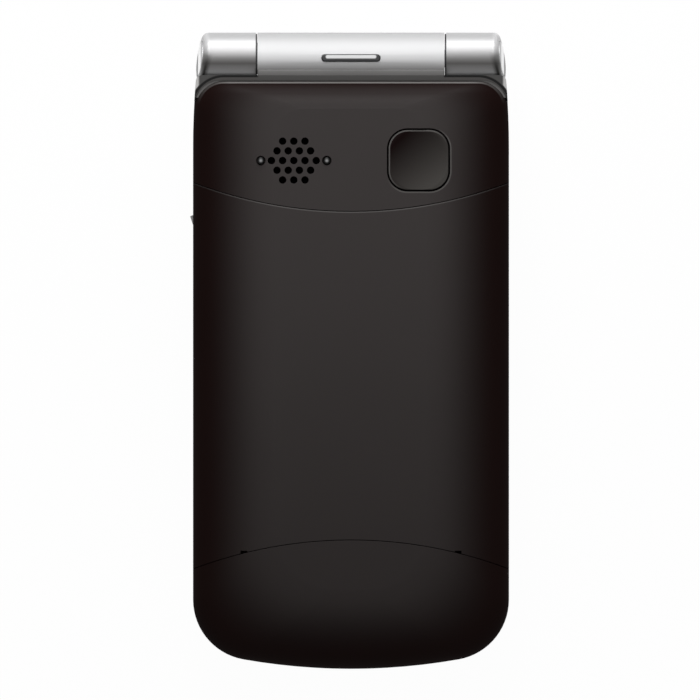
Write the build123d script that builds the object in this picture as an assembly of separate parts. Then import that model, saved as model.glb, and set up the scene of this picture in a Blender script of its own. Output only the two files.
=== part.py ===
"""Clamshell mobile phone with a keypad half and a display lid, in millimetres.

The phone is closed and lies on its lid, with the back of the keypad half upwards.
X runs across the phone, +Y points to the hinge and +Z points up, away from the table.
The origin is on the table, under the middle of the phone.
Each function makes one piece, and the list at the end writes one STEP file per piece.
"""

import math
import os

from build123d import *

# ---------------------------------------------------------------- the whole phone
PHONE_WIDTH = 52.0
PHONE_LENGTH = 104.8  # from the top of the hinge barrel to the foot
LID_THICKNESS = 8.6  # the half that lies on the table
HALVES_GAP = 0.5  # between the two inner faces
BASE_THICKNESS = 10.4  # the keypad half

# ---------------------------------------------------------------- outline in plan
HEAD_NARROWING = 0.55  # each side, at the hinge end
TAPER_LENGTH = 10.4  # where the narrowing starts, below the rear housing's head
FOOT_CORNER_RADIUS = 10.0
HEAD_CORNER_RADIUS = 4.6
FRAME_CORNER_RADIUS = 1.0  # head corners of the base's frame, fuller than the shell's
FOOT_ARC_RADIUS = 102.0

# ---------------------------------------------------------------- hinge
BARREL_RADIUS = 4.25
KNUCKLE_SETBACK = 1.1  # a knuckle's end face, in from the phone's side
KNUCKLE_LENGTH = 9.2
KNUCKLE_GAP = 0.3  # between the middle barrel and each knuckle
KNUCKLE_YAW = 7.0  # degrees that the end faces turn towards the hinge side
KNUCKLE_DRAFT = 8.0  # degrees that the end faces lean towards the back
KNUCKLE_EDGE_RADIUS = 0.9
BARREL_CLEARANCE = 0.35  # between a barrel and the half that turns round it
END_CAP_RADIUS = 2.9
END_CAP_DEPTH = 0.8
END_CAP_PROUD = 0.12
CAP_CLEARANCE = 0.08

MODULE_RADIUS = 2.65  # spring and cam cartridge in the middle barrel
MODULE_LENGTH = 10.0
MODULE_WALL = 0.55
CAM_SHAFT_RADIUS = 1.5
CAM_SHAFT_REACH = 4.0  # into the right knuckle, and into the cartridge
CAM_HEAD_LENGTH = 1.1
RUNNING_FIT = 0.04
SPRING_WIRE_RADIUS = 0.22
SPRING_PITCH = 0.9
BUSH_RADIUS = 2.6
BUSH_WALL = 0.6
BUSH_REACH = 6.0  # to each side of the knuckle gap
FLEX_THICKNESS = 0.3  # wound display ribbon inside the bush
COLLAR_SETBACK = 0.2  # of the collar in each gap, below the barrel's surface
COLLAR_THICKNESS = 0.22

LIGHT_LENGTH = 9.7  # indicator bar on the middle barrel
LIGHT_WIDTH = 1.15
LIGHT_DEPTH = 1.3
LIGHT_PROUD = 0.22
LIGHT_EDGE = 0.2
LED_LENGTH = 1.6
LED_WIDTH = 0.8
LED_HEIGHT = 0.6

# ---------------------------------------------------------------- walls and gaps
WALL = 1.4  # housings
SEAM = 0.12  # visible joint line between two shells
LIP_INSET = 0.5  # the joint line's depth, down to the lip that the shells meet on
FIT = 0.1  # loose fit of one piece in another

# ---------------------------------------------------------------- base, rear side
REAR_SETBACK = 3.8  # hinge axis to the head of the rear housing
HEAD_LEDGE = 0.95  # front housing seen beyond the rear housing's head
LEDGE_HEIGHT = 2.4  # of the front housing's head wall above its rim
FAIRING_ANGLE = 63.0  # degrees up the middle barrel, where its fairing leaves it
FAIRING_FLAT = 0.3
BACK_ROUND_DEPTH = 5.5
BACK_SIDE_ROUND = 13.5
BACK_FOOT_ROUND = 13.0
BACK_HEAD_ROUND = 4.6
ROUND_STEPS = 6  # sections in a quarter of a rounded edge

SEAM_ARC_RADIUS = 72.6  # both edges of the battery cover
HEAD_DECK = 21.45  # rear housing above the battery cover, on the middle line
FOOT_DECK = 21.2  # rear housing below it
COVER_WALL = 1.1
COVER_FIT = 0.2
COVER_SILL = 1.05  # side sill under the battery cover's skirts
BULKHEAD = 1.2  # wall under each seam
NOTCH_SIDE_SETBACK = 8.4  # the two pry notches in the lower seam
NOTCH_LENGTH = 1.1
NOTCH_WIDTH = 0.45

GRILLE_SIDE_SETBACK = 16.6
GRILLE_SETBACK = 13.15  # from the rear housing's head
GRILLE_PITCH = 1.84
GRILLE_HOLE_RADIUS = 0.61
GRILLE_ROWS = (3, 4, 5, 4, 3)
PIP_OFFSET = 5.42
PIP_POCKET_RADIUS = 0.78
PIP_POCKET_DEPTH = 0.6
PIP_RADIUS = 0.6
PIP_PROUD = 0.3
SPEAKER_RADIUS = 6.0
SPEAKER_HEIGHT = 3.0
SPEAKER_RIB = 0.9
SPEAKER_STANDOUT = 0.3  # of its back, beyond the rib
SPEAKER_CONE_DEPTH = 0.75
SPEAKER_DOME_RADIUS = 2.4
SPEAKER_DOME_DEPTH = 0.1
GASKET_HEIGHT = 0.6
MESH_THICKNESS = 0.15

REAR_KEY_SIDE_SETBACK = 14.9
REAR_KEY_SETBACK = 13.05  # from the rear housing's head
REAR_KEY_OPENING = 10.4
REAR_KEY_CORNER = 3.4
REAR_KEY_CLEARANCE = 0.18
REAR_KEY_DISH = 0.5
REAR_KEY_RECESS = 0.08
REAR_KEY_FLANGE = 0.75
REAR_KEY_FLANGE_HEIGHT = 0.6
REAR_KEY_TRAVEL = 0.5
REAR_KEY_EDGE = 0.25
SWITCH_SIZE = 4.0
SWITCH_PLUNGER_RADIUS = 1.0
SWITCH_PLUNGER_HEIGHT = 0.8

# ---------------------------------------------------------------- battery and inner pieces
BATTERY_SIDE_MARGIN = 9.0
BATTERY_HEAD_MARGIN = 5.4  # from the two seams
BATTERY_FOOT_MARGIN = 3.7
BATTERY_HEIGHT = 4.3
BATTERY_CORNER = 1.2
BATTERY_EDGE = 0.4
BATTERY_FIT = 0.3
BAY_FLOOR = 0.8
CONTACT_ROOM = 1.4  # between the battery's head and the bay's wall
CONTACT_WIDTH = 1.2
CONTACT_HEIGHT = 2.4
CONTACT_PITCH = 3.0
CONTACT_THICKNESS = 0.45
CONTACT_FOOT = 0.7
BAY_RIB = 1.3
SIDE_HOLLOW_DEPTH = 2.2

BOARD_THICKNESS = 0.8
BOARD_INSET = 2.6
BOARD_HEAD_INSET = 4.2
DOME_SHEET_THICKNESS = 0.3
SHEET_MARGIN = 0.6
MIC_SIZE = 3.0
MIC_HEIGHT = 1.0
MIC_HOLE_RADIUS = 0.5
MIC_SIDE_SETBACK = 16.0
MIC_SETBACK = 9.4  # from the phone's foot, as are the next three
MOTOR_RADIUS = 1.9
MOTOR_LENGTH = 6.0
MOTOR_SHAFT_RADIUS = 0.5
MOTOR_SHAFT_LENGTH = 3.0
MOTOR_WEIGHT_RADIUS = 1.7
MOTOR_WEIGHT_LENGTH = 2.2
MOTOR_SEAT = 1.15
MOTOR_SETBACK = 16.2
ANTENNA_SIDE_MARGIN = 9.0
ANTENNA_LENGTH = 6.0
ANTENNA_HEIGHT = 2.0
ANTENNA_SETBACK = 9.4
PORT_WIDTH = 7.4
PORT_HEIGHT = 2.6
PORT_DEPTH = 5.4
PORT_WALL = 0.3
PORT_ROOM_DEPTH = 2.8  # of its opening through the foot walls
PORT_CLEARANCE = 0.2
PORT_RECESS = 0.5
PORT_WING_WIDTH = 1.1  # of the side tabs that hold the socket on the board
PORT_WING_LENGTH = 1.8
PORT_WING_SETBACK = 3.0
PORT_WING_THICKNESS = 0.3
TONGUE_WIDTH = 4.8
TONGUE_THICKNESS = 0.7
TONGUE_SETBACK = 1.35

SCREW_RADIUS = 0.7
SCREW_HEAD_RADIUS = 1.25
SCREW_HEAD_HEIGHT = 0.8
SCREW_SLACK = 0.06
SCREW_CROSS = 1.5
SCREW_CROSS_WIDTH = 0.35
SCREW_CROSS_DEPTH = 0.4
BASE_SCREW_INSET = 3.45
BASE_SCREW_SETBACKS = (10.3, 2.2)  # from the two decks
BOSS_RADIUS = 1.65
HEAD_COVER = 0.45  # depth of a screw head under the surface

# ---------------------------------------------------------------- keypad
FASCIA_THICKNESS = 0.8
FASCIA_INSET = 2.0
FASCIA_HEAD_INSET = 3.3
KEY_PLATE = 0.8
KEYPAD_SIDE_MARGIN = 5.9
KEYPAD_HEAD_SETBACK = 7.7  # from the front housing's head
KEYPAD_FOOT_SETBACK = 19.1
KEY_CORNER = 2.6
KEY_GAP_X = 1.8
KEY_GAP_Y = 2.4
KEY_PROUD = 0.28
KEY_CLEARANCE = 0.15
KEY_FLANGE = 0.5
KEY_FLANGE_HEIGHT = 0.4
KEY_TRAVEL = 0.4
KEY_SLACK = 0.12  # between a pressed key and the dome sheet
KEY_EDGE = 0.4
SMALL_KEY_LENGTH = 7.2
SOFT_ROW_GAP = 4.5  # between the soft keys and the call key's row
CALL_ROW_GAP = 5.6  # between that row and the row of 1 2 3
NAV_SIDE_GAP = 1.2
NAV_END_MARGIN = 0.7  # in from the small keys' outer edges
NAV_CORNER = 5.4
NAV_PROUD = 0.05
NAV_FLANGE_HEIGHT = 0.25
NAV_DISH_RADIUS = 2.4
NAV_DISH_DEPTH = 0.25

SLIDER_SETBACK = 22.95  # from the rear housing's head
SLIDER_TRAVEL = 2.0
SLIDER_STEM_LENGTH = 2.8
SLIDER_HEIGHT = 1.0
SLIDER_PROUD = 0.5
SLIDER_RIDGE_LENGTH = 1.9
SLIDER_PLATE = 0.5
SLIDER_PLATE_MARGIN = 0.25
SLIDER_CLEARANCE = 0.12

# ---------------------------------------------------------------- lid
LID_ROUND_DEPTH = 3.0
LID_SIDE_ROUND = 4.2
LID_SLIMMER = 0.1  # each side, against the base
LID_COVER_DEPTH = 3.2
LID_COVER_WALL = 1.2
BEZEL_THICKNESS = 1.0
BEZEL_INSET = 0.5
FRAME_PLATE = 0.6
FRAME_PLATE_Z = 3.9
LID_WALL = 1.5
NECK_FOOT = 2.1  # height at which a knuckle's neck leaves the lid
NECK_ROOT = 1.2  # how far a neck reaches into the lid's frame
NECK_MARGIN = 2.7  # outer side of a neck, in from the knuckle's end

SMALL_LENS_SIDE_MARGIN = 11.0
SMALL_LENS_LENGTH = 25.0
SMALL_LENS_CORNER = 3.0
SMALL_LENS_THICKNESS = 0.8
SMALL_LENS_RECESS = 0.1
SMALL_LENS_SETBACK = 26.2  # its middle, from the lid's head
LENS_LEDGE = 1.2
SMALL_DISPLAY_THICKNESS = 1.6
SMALL_DISPLAY_MARGIN = 0.6

LENS_SIDE_MARGIN = 5.5
LENS_HEAD_SETBACK = 14.2  # from the lid's head
LENS_FOOT_SETBACK = 19.4
LENS_CORNER = 2.0
LENS_THICKNESS = 0.85
LENS_RECESS = 0.06
DISPLAY_MARGIN = 0.4
DISPLAY_CORNER = 1.0
LID_BOARD_THICKNESS = 0.7
LID_BOARD_MARGIN = 1.2
EARPIECE_SETBACK = 11.9  # from the phone's foot
EARPIECE_SLOT = 9.0
EARPIECE_SLOT_WIDTH = 1.3
EARPIECE_MESH_MARGIN = 0.7
RECEIVER_WIDTH = 12.0
RECEIVER_LENGTH = 6.0
LID_SCREW_INSET = 4.0
LID_SCREW_SETBACKS = (6.2, 9.9)  # from the lid's head and from the foot
BUMPER_RADIUS = 1.7
BUMPER_POCKET = 0.3
BUMPER_GAP = 0.1
MAGNET_WIDTH = 5.0
MAGNET_LENGTH = 2.0
MAGNET_HEIGHT = 1.2
MAGNET_SIDE_SETBACK = 14.0
MAGNET_SETBACK = 5.9  # from the phone's foot

# ---------------------------------------------------------------- derived heights and places
HALF = PHONE_WIDTH / 2
FOOT_Y = -PHONE_LENGTH / 2
HINGE_Y = PHONE_LENGTH / 2 - BARREL_RADIUS
HINGE_Z = LID_THICKNESS + HALVES_GAP / 2
BASE_Z = LID_THICKNESS + HALVES_GAP  # inner face of the base
BACK_Z = BASE_Z + BASE_THICKNESS  # back of the phone
REAR_HEAD_Y = HINGE_Y - REAR_SETBACK
FRONT_HEAD_Y = REAR_HEAD_Y + HEAD_LEDGE
LID_HEAD_Y = HINGE_Y - BARREL_RADIUS - 2 * BARREL_CLEARANCE
TAPER_Y = REAR_HEAD_Y - TAPER_LENGTH
KNUCKLE_END = HALF - KNUCKLE_SETBACK
BARREL_HALF_LENGTH = KNUCKLE_END - KNUCKLE_LENGTH - KNUCKLE_GAP  # the middle barrel, on the base
NECK_END = KNUCKLE_END - NECK_MARGIN

UPPER_SEAM_Y = REAR_HEAD_Y - HEAD_DECK
LOWER_SEAM_Y = FOOT_Y + FOOT_DECK
NOTCH_X = HALF - NOTCH_SIDE_SETBACK
GRILLE_X = -HALF + GRILLE_SIDE_SETBACK
GRILLE_Y = REAR_HEAD_Y - GRILLE_SETBACK
REAR_KEY_X = HALF - REAR_KEY_SIDE_SETBACK
REAR_KEY_Y = REAR_HEAD_Y - REAR_KEY_SETBACK
SLIDER_Y = REAR_HEAD_Y - SLIDER_SETBACK
BATTERY_WIDTH = PHONE_WIDTH - 2 * BATTERY_SIDE_MARGIN
BATTERY_HEAD_Y = UPPER_SEAM_Y - BATTERY_HEAD_MARGIN
BATTERY_FOOT_Y = LOWER_SEAM_Y + BATTERY_FOOT_MARGIN
BAY_HEAD_Y = BATTERY_HEAD_Y + CONTACT_ROOM
BAY_FOOT_Y = BATTERY_FOOT_Y - BATTERY_FIT
MIC_X = HALF - MIC_SIDE_SETBACK
MIC_Y = FOOT_Y + MIC_SETBACK
MOTOR_Y = FOOT_Y + MOTOR_SETBACK
ANTENNA_WIDTH = PHONE_WIDTH - 2 * ANTENNA_SIDE_MARGIN
ANTENNA_Y = FOOT_Y + ANTENNA_SETBACK
BASE_SCREW_X = HALF - BASE_SCREW_INSET
BASE_SCREW_Y = (UPPER_SEAM_Y - BASE_SCREW_SETBACKS[0], LOWER_SEAM_Y + BASE_SCREW_SETBACKS[1])
KEYPAD_HEAD_Y = FRONT_HEAD_Y - KEYPAD_HEAD_SETBACK
KEYPAD_FOOT_Y = FOOT_Y + KEYPAD_FOOT_SETBACK
SOFT_KEY_Y = KEYPAD_HEAD_Y - SMALL_KEY_LENGTH / 2
CALL_KEY_Y = SOFT_KEY_Y - SMALL_KEY_LENGTH - SOFT_ROW_GAP
DIGITS_HEAD_Y = CALL_KEY_Y - SMALL_KEY_LENGTH / 2 - CALL_ROW_GAP
KEY_LENGTH = (DIGITS_HEAD_Y - KEYPAD_FOOT_Y - 3 * KEY_GAP_Y) / 4
KEY_WIDTH = (PHONE_WIDTH - 2 * KEYPAD_SIDE_MARGIN - 2 * KEY_GAP_X) / 3
KEY_PITCH_X = KEY_WIDTH + KEY_GAP_X
KEY_PITCH_Y = KEY_LENGTH + KEY_GAP_Y
DIGIT_ROW_Y = DIGITS_HEAD_Y - KEY_LENGTH / 2
NAV_Y = (SOFT_KEY_Y + CALL_KEY_Y) / 2
NAV_WIDTH = KEY_WIDTH + 2 * KEY_GAP_X - 2 * NAV_SIDE_GAP
NAV_LENGTH = SOFT_KEY_Y - CALL_KEY_Y + SMALL_KEY_LENGTH - 2 * NAV_END_MARGIN
SMALL_LENS_WIDTH = PHONE_WIDTH - 2 * SMALL_LENS_SIDE_MARGIN
SMALL_LENS_Y = LID_HEAD_Y - SMALL_LENS_SETBACK
LENS_WIDTH = PHONE_WIDTH - 2 * LENS_SIDE_MARGIN
LENS_HEAD_Y = LID_HEAD_Y - LENS_HEAD_SETBACK
LENS_FOOT_Y = FOOT_Y + LENS_FOOT_SETBACK
LENS_LENGTH = LENS_HEAD_Y - LENS_FOOT_Y
LENS_Y = (LENS_HEAD_Y + LENS_FOOT_Y) / 2
EARPIECE_Y = FOOT_Y + EARPIECE_SETBACK
LID_SCREW_X = HALF - LID_SCREW_INSET
LID_SCREW_Y = (LID_HEAD_Y - LID_SCREW_SETBACKS[0], FOOT_Y + LID_SCREW_SETBACKS[1])
MAGNET_X = HALF - MAGNET_SIDE_SETBACK
MAGNET_Y = FOOT_Y + MAGNET_SETBACK

PLATE_Z = BASE_Z + FASCIA_THICKNESS  # the front housing's key plate
PLATE_TOP_Z = PLATE_Z + KEY_PLATE
KEY_FLANGE_Z = PLATE_TOP_Z + FIT / 2
DOME_SHEET_Z = KEY_FLANGE_Z + KEY_FLANGE_HEIGHT + KEY_TRAVEL + KEY_SLACK
BOARD_Z = DOME_SHEET_Z + DOME_SHEET_THICKNESS
BOARD_TOP_Z = BOARD_Z + BOARD_THICKNESS
PORT_Z = (BOARD_Z + BOARD_TOP_Z - PORT_HEIGHT) / 2  # the socket is sunk into the board by half
REAR_Z = BOARD_TOP_Z  # lower edge of the rear housing, which holds the board down
FRONT_TOP_Z = REAR_Z - SEAM  # rim of the front housing
ROUND_Z = BACK_Z - BACK_ROUND_DEPTH
SILL_Z = REAR_Z + COVER_SILL
NAV_FLANGE_Z = (PLATE_TOP_Z + DOME_SHEET_Z - NAV_FLANGE_HEIGHT) / 2
FLOOR_Z = REAR_Z + BAY_FLOOR  # floor of the battery bay
DECK_Z = BACK_Z - WALL  # underside of the rear housing's decks

LID_FRAME_Z = LID_COVER_DEPTH + SEAM
BEZEL_Z = LID_THICKNESS - BEZEL_THICKNESS
LID_FRAME_TOP_Z = BEZEL_Z - SEAM
FRAME_PLATE_TOP_Z = FRAME_PLATE_Z + FRAME_PLATE
LENS_Z = LID_THICKNESS - LENS_RECESS - LENS_THICKNESS
DISPLAY_Z = FRAME_PLATE_TOP_Z + LID_BOARD_THICKNESS

REAR_FLANGE_Z = DECK_Z - FIT - REAR_KEY_FLANGE_HEIGHT
DIGIT_NAMES = ("1", "2", "3", "4", "5", "6", "7", "8", "9", "star", "0", "hash")


# ---------------------------------------------------------------- helpers
def block(x0, x1, y0, y1, z0, z1):
    """A box between two corners."""
    middle = Pos((x0 + x1) / 2, (y0 + y1) / 2, (z0 + z1) / 2)
    return middle * Box(abs(x1 - x0), abs(y1 - y0), abs(z1 - z0))


def post(x, y, z0, z1, radius):
    """An upright cylinder."""
    return Pos(x, y, (z0 + z1) / 2) * Cylinder(radius, z1 - z0)


def rod(x0, x1, radius, y=HINGE_Y, z=HINGE_Z):
    """A cylinder along X, on the hinge axis unless told otherwise."""
    return Pos((x0 + x1) / 2, y, z) * Rot(0, 90, 0) * Cylinder(radius, abs(x1 - x0))


def plate(x, y, width, length, corner, z0, z1):
    """A rounded rectangle, from one height to another."""
    return Pos(x, y, z0) * extrude(RectangleRounded(width, length, corner), z1 - z0)


def outline(z, head_y, side=0.0, foot=0.0, head=0.0, slimmer=0.0, corner=HEAD_CORNER_RADIUS):
    """The phone's outline at a height, set in from its sides, foot and head."""
    half = HALF - slimmer - side
    head_half = half - HEAD_NARROWING
    y_head = head_y - head
    y_foot = FOOT_Y + foot
    sag = FOOT_ARC_RADIUS - math.sqrt(FOOT_ARC_RADIUS**2 - half**2)
    bend = half - HEAD_NARROWING / 4
    y_bend = (TAPER_Y + y_head) / 2
    with BuildSketch(Plane.XY.offset(z)) as sketch:
        with BuildLine():
            ThreePointArc((-half, y_foot + sag), (0, y_foot), (half, y_foot + sag))
            Line((half, y_foot + sag), (half, TAPER_Y))
            ThreePointArc((half, TAPER_Y), (bend, y_bend), (head_half, y_head))
            Line((head_half, y_head), (-head_half, y_head))
            ThreePointArc((-head_half, y_head), (-bend, y_bend), (-half, TAPER_Y))
            Line((-half, TAPER_Y), (-half, y_foot + sag))
        make_face()
        corners = sketch.vertices().sort_by(Axis.Y)
        fillet(corners[:2], FOOT_CORNER_RADIUS)
        fillet(sketch.vertices().sort_by(Axis.Y)[-2:], corner)
    return sketch.sketch.faces()[0]


def slab(z0, z1, head_y, **inset):
    """The outline, from one height to another."""
    return extrude(outline(z0, head_y, **inset), z1 - z0)


def lip(z0, z1, head_y, inner, slimmer=0.0):
    """The ledge in a joint line, on which two shells meet. It runs from the joint line's depth to inner."""
    outer = LIP_INSET
    ring = slab(z0, z1, head_y, side=outer, foot=outer, head=outer, slimmer=slimmer)
    return ring - slab(z0, z1, head_y, side=inner, foot=inner, head=inner, slimmer=slimmer)


def pillow(z_from, z_side, z_flat, head_y, inset, side, foot, head, slimmer=0.0):
    """A half of the phone: upright sides from z_from to z_side, then edges that round to z_flat."""
    way = math.copysign(1, z_flat - z_side)
    depth = abs(z_flat - z_side) - inset
    sections = []
    for step in range(ROUND_STEPS + 1):
        angle = math.pi / 2 * step / ROUND_STEPS
        share = 1 - math.cos(angle)
        sections.append(
            outline(
                z_side + way * depth * math.sin(angle),
                head_y,
                side=inset + (side - inset) * share,
                foot=inset + (foot - inset) * share,
                head=inset + (head - inset) * share,
                slimmer=slimmer,
            )
        )
    upright = slab(z_from, z_side, head_y, side=inset, foot=inset, head=inset, slimmer=slimmer)
    return upright + loft(sections)


def back_form(inset, z_from=REAR_Z):
    """The rear housing's outer form, set in by a wall."""
    return pillow(
        z_from, ROUND_Z, BACK_Z, REAR_HEAD_Y, inset, BACK_SIDE_ROUND, BACK_FOOT_ROUND, BACK_HEAD_ROUND
    )


def lid_form(inset, z_from=LID_COVER_DEPTH):
    """The lid cover's outer form, set in by a wall."""
    return pillow(
        z_from,
        LID_ROUND_DEPTH,
        0,
        LID_HEAD_Y,
        inset,
        LID_SIDE_ROUND,
        LID_SIDE_ROUND,
        LID_SIDE_ROUND,
        slimmer=LID_SLIMMER,
    )


def deck_column(end, spare=0.0):
    """The round column of space beyond one seam of the battery cover, made wider by spare."""
    seam_y = UPPER_SEAM_Y if end > 0 else LOWER_SEAM_Y
    middle = seam_y + end * SEAM_ARC_RADIUS
    return post(0, middle, BASE_Z, BACK_Z + BASE_THICKNESS, SEAM_ARC_RADIUS + spare)


def cover_column(z0, gap=0.0):
    """The space between the two seams, above a height."""
    whole = block(-PHONE_WIDTH, PHONE_WIDTH, FOOT_Y, HINGE_Y, z0, BACK_Z + WALL)
    return whole - deck_column(1, gap) - deck_column(-1, gap)


def screw(x, y, z_head, z_tip, way):
    """A pan-head screw, with its head at z_head and pointing along way, with a cross recess."""
    z_under = z_head + way * SCREW_HEAD_HEIGHT
    low, high = sorted((z_head, z_under))
    head = post(x, y, low, high, SCREW_HEAD_RADIUS)
    tip_low, tip_high = sorted((z_under, z_tip))
    shank = post(x, y, tip_low, tip_high, SCREW_RADIUS)
    arm, slot, depth = SCREW_CROSS / 2, SCREW_CROSS_WIDTH / 2, SCREW_CROSS_DEPTH
    cross = block(x - arm, x + arm, y - slot, y + slot, z_head - depth, z_head + depth)
    cross += block(x - slot, x + slot, y - arm, y + arm, z_head - depth, z_head + depth)
    return head + shank - cross


# ---------------------------------------------------------------- keypad layout
def key_places():
    """Name, x, y and length of every key that is pressed straight in. Rows run down from the hinge."""
    places = []
    for side, x in (("left", -KEY_PITCH_X), ("right", KEY_PITCH_X)):
        places.append((f"soft_key_{side}", x, SOFT_KEY_Y, SMALL_KEY_LENGTH))
    # The keypad faces down, so its left column is on the +X side.
    places.append(("call_key", KEY_PITCH_X, CALL_KEY_Y, SMALL_KEY_LENGTH))
    places.append(("end_key", -KEY_PITCH_X, CALL_KEY_Y, SMALL_KEY_LENGTH))
    for index, digit in enumerate(DIGIT_NAMES):
        row, column = divmod(index, 3)
        x = KEY_PITCH_X * (1 - column)
        places.append((f"key_{digit}", x, DIGIT_ROW_Y - KEY_PITCH_Y * row, KEY_LENGTH))
    return places


def key_openings(z0, z1):
    """Holes for every key and for the rocker."""
    spare = 2 * KEY_CLEARANCE
    corner = KEY_CORNER + KEY_CLEARANCE
    holes = [
        plate(x, y, KEY_WIDTH + spare, length + spare, corner, z0, z1) for _, x, y, length in key_places()
    ]
    holes.append(plate(0, NAV_Y, NAV_WIDTH + spare, NAV_LENGTH + spare, NAV_CORNER + KEY_CLEARANCE, z0, z1))
    return holes


def key(x, y, length):
    """A key: a cap with a soft edge, and a flange that stops it behind the key plate."""
    cap = plate(x, y, KEY_WIDTH, length, KEY_CORNER, BASE_Z - KEY_PROUD, KEY_FLANGE_Z)
    cap = fillet(cap.faces().sort_by(Axis.Z)[0].edges(), KEY_EDGE)
    spare = 2 * KEY_FLANGE
    flange = plate(
        x,
        y,
        KEY_WIDTH + spare,
        length + spare,
        KEY_CORNER + KEY_FLANGE,
        KEY_FLANGE_Z,
        KEY_FLANGE_Z + KEY_FLANGE_HEIGHT,
    )
    return cap + flange


def nav_rocker():
    """The up and down rocker, with a dish for the thumb at each end."""
    top_z = BASE_Z - NAV_PROUD
    cap = plate(0, NAV_Y, NAV_WIDTH, NAV_LENGTH, NAV_CORNER, top_z, NAV_FLANGE_Z)
    cap = fillet(cap.faces().sort_by(Axis.Z)[0].edges(), KEY_EDGE)
    ball = (NAV_DISH_RADIUS**2 + NAV_DISH_DEPTH**2) / (2 * NAV_DISH_DEPTH)
    for end in (-1, 1):
        y = NAV_Y + end * (NAV_LENGTH / 2 - NAV_DISH_RADIUS - KEY_EDGE * 2)
        cap -= Pos(0, y, top_z + NAV_DISH_DEPTH - ball) * Sphere(ball)
    spare = 2 * KEY_FLANGE
    flange = plate(
        0,
        NAV_Y,
        NAV_WIDTH + spare,
        NAV_LENGTH + spare,
        NAV_CORNER + KEY_FLANGE,
        NAV_FLANGE_Z,
        NAV_FLANGE_Z + NAV_FLANGE_HEIGHT,
    )
    return cap + flange


# ---------------------------------------------------------------- base: shells
def grille_places():
    """Centres of the loudspeaker's holes, in a hexagon of close rows."""
    row_step = GRILLE_PITCH * math.sqrt(3) / 2
    places = []
    for row, count in enumerate(GRILLE_ROWS):
        y = GRILLE_Y + row_step * ((len(GRILLE_ROWS) - 1) / 2 - row)
        for index in range(count):
            places.append((GRILLE_X + GRILLE_PITCH * (index - (count - 1) / 2), y))
    return places


def pip_places():
    """Centres of the two rest pips, on both sides of the loudspeaker's holes."""
    return [(GRILLE_X - PIP_OFFSET, GRILLE_Y), (GRILLE_X + PIP_OFFSET, GRILLE_Y)]


def base_screw_places():
    """Centres of the base's four screws."""
    return [(side * BASE_SCREW_X, y) for side in (-1, 1) for y in BASE_SCREW_Y]


def base_screw_head_z():
    """Top of the screw heads, sunk under the deck that the battery cover hides."""
    fall = BACK_ROUND_DEPTH - COVER_WALL - COVER_FIT
    spread = BACK_SIDE_ROUND - COVER_WALL - COVER_FIT
    cosine = (BASE_SCREW_X + SCREW_HEAD_RADIUS - (HALF - BACK_SIDE_ROUND)) / spread
    return ROUND_Z + fall * math.sqrt(max(0.0, 1 - cosine**2)) - HEAD_COVER


def rear_housing():
    """The black shell of the back: a head deck, a foot deck, and the battery bay between them."""
    deep_z = BASE_Z
    inner_form = back_form(COVER_WALL + COVER_FIT, deep_z)
    shell = back_form(0) - (cover_column(SILL_Z) - inner_form)
    hollow = back_form(WALL, deep_z)
    for end in (-1, 1):
        shell -= hollow & deck_column(end, -BULKHEAD)
    bay_half = BATTERY_WIDTH / 2 + BATTERY_FIT
    shell -= block(-bay_half, bay_half, BAY_FOOT_Y, BAY_HEAD_Y, FLOOR_Z, BACK_Z + WALL)
    inner_x = bay_half + BAY_RIB
    outer_x = HALF - COVER_WALL - COVER_FIT - WALL
    hollow_head = BASE_SCREW_Y[0] - BOSS_RADIUS - BAY_RIB
    hollow_foot = BASE_SCREW_Y[1] + BOSS_RADIUS + BAY_RIB
    for side in (-1, 1):
        shell -= block(
            side * inner_x, side * outer_x, hollow_foot, hollow_head, deep_z, REAR_Z + SIDE_HOLLOW_DEPTH
        )
    for x, y in grille_places():
        shell -= post(x, y, DECK_Z - WALL, BACK_Z + WALL, GRILLE_HOLE_RADIUS)
    for x, y in pip_places():
        shell -= post(x, y, BACK_Z - PIP_POCKET_DEPTH, BACK_Z + WALL, PIP_POCKET_RADIUS)
    shell -= plate(
        REAR_KEY_X,
        REAR_KEY_Y,
        REAR_KEY_OPENING,
        REAR_KEY_OPENING,
        REAR_KEY_CORNER,
        DECK_Z - WALL,
        BACK_Z + WALL,
    )
    flange_room = REAR_KEY_OPENING + 2 * (REAR_KEY_FLANGE + FIT)
    flange_corner = REAR_KEY_CORNER + REAR_KEY_FLANGE + FIT
    shell -= plate(REAR_KEY_X, REAR_KEY_Y, flange_room, flange_room, flange_corner, DECK_Z - WALL, DECK_Z)
    rib_z = DECK_Z - GASKET_HEIGHT - SPEAKER_HEIGHT + SPEAKER_STANDOUT
    rib = post(GRILLE_X, GRILLE_Y, rib_z, DECK_Z + FIT, SPEAKER_RADIUS + FIT + SPEAKER_RIB)
    shell += rib - post(GRILLE_X, GRILLE_Y, rib_z, BACK_Z, SPEAKER_RADIUS + FIT)
    shell -= post(GRILLE_X, GRILLE_Y, rib_z, DECK_Z, SPEAKER_RADIUS + FIT)
    for x, y in base_screw_places():
        seat_z = base_screw_head_z() - SCREW_HEAD_HEIGHT
        shell -= post(x, y, deep_z, BACK_Z, SCREW_RADIUS + SCREW_SLACK)
        shell -= post(x, y, seat_z, BACK_Z, SCREW_HEAD_RADIUS + FIT)
    return shell - port_room()


def port_room():
    """The opening in the foot for the charging socket."""
    half = PORT_WIDTH / 2 + PORT_CLEARANCE
    low_z, top_z = PORT_Z - PORT_CLEARANCE, PORT_Z + PORT_HEIGHT + PORT_CLEARANCE
    return block(-half, half, FOOT_Y - WALL, FOOT_Y + PORT_ROOM_DEPTH, low_z, top_z)


def port_notch():
    """The space that the charging socket takes up in the board and its carrier."""
    half = PORT_WIDTH / 2 + PORT_CLEARANCE
    head_y = FOOT_Y + PORT_RECESS + PORT_DEPTH + PORT_CLEARANCE
    return block(-half, half, FOOT_Y, head_y, BASE_Z, BACK_Z)


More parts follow.
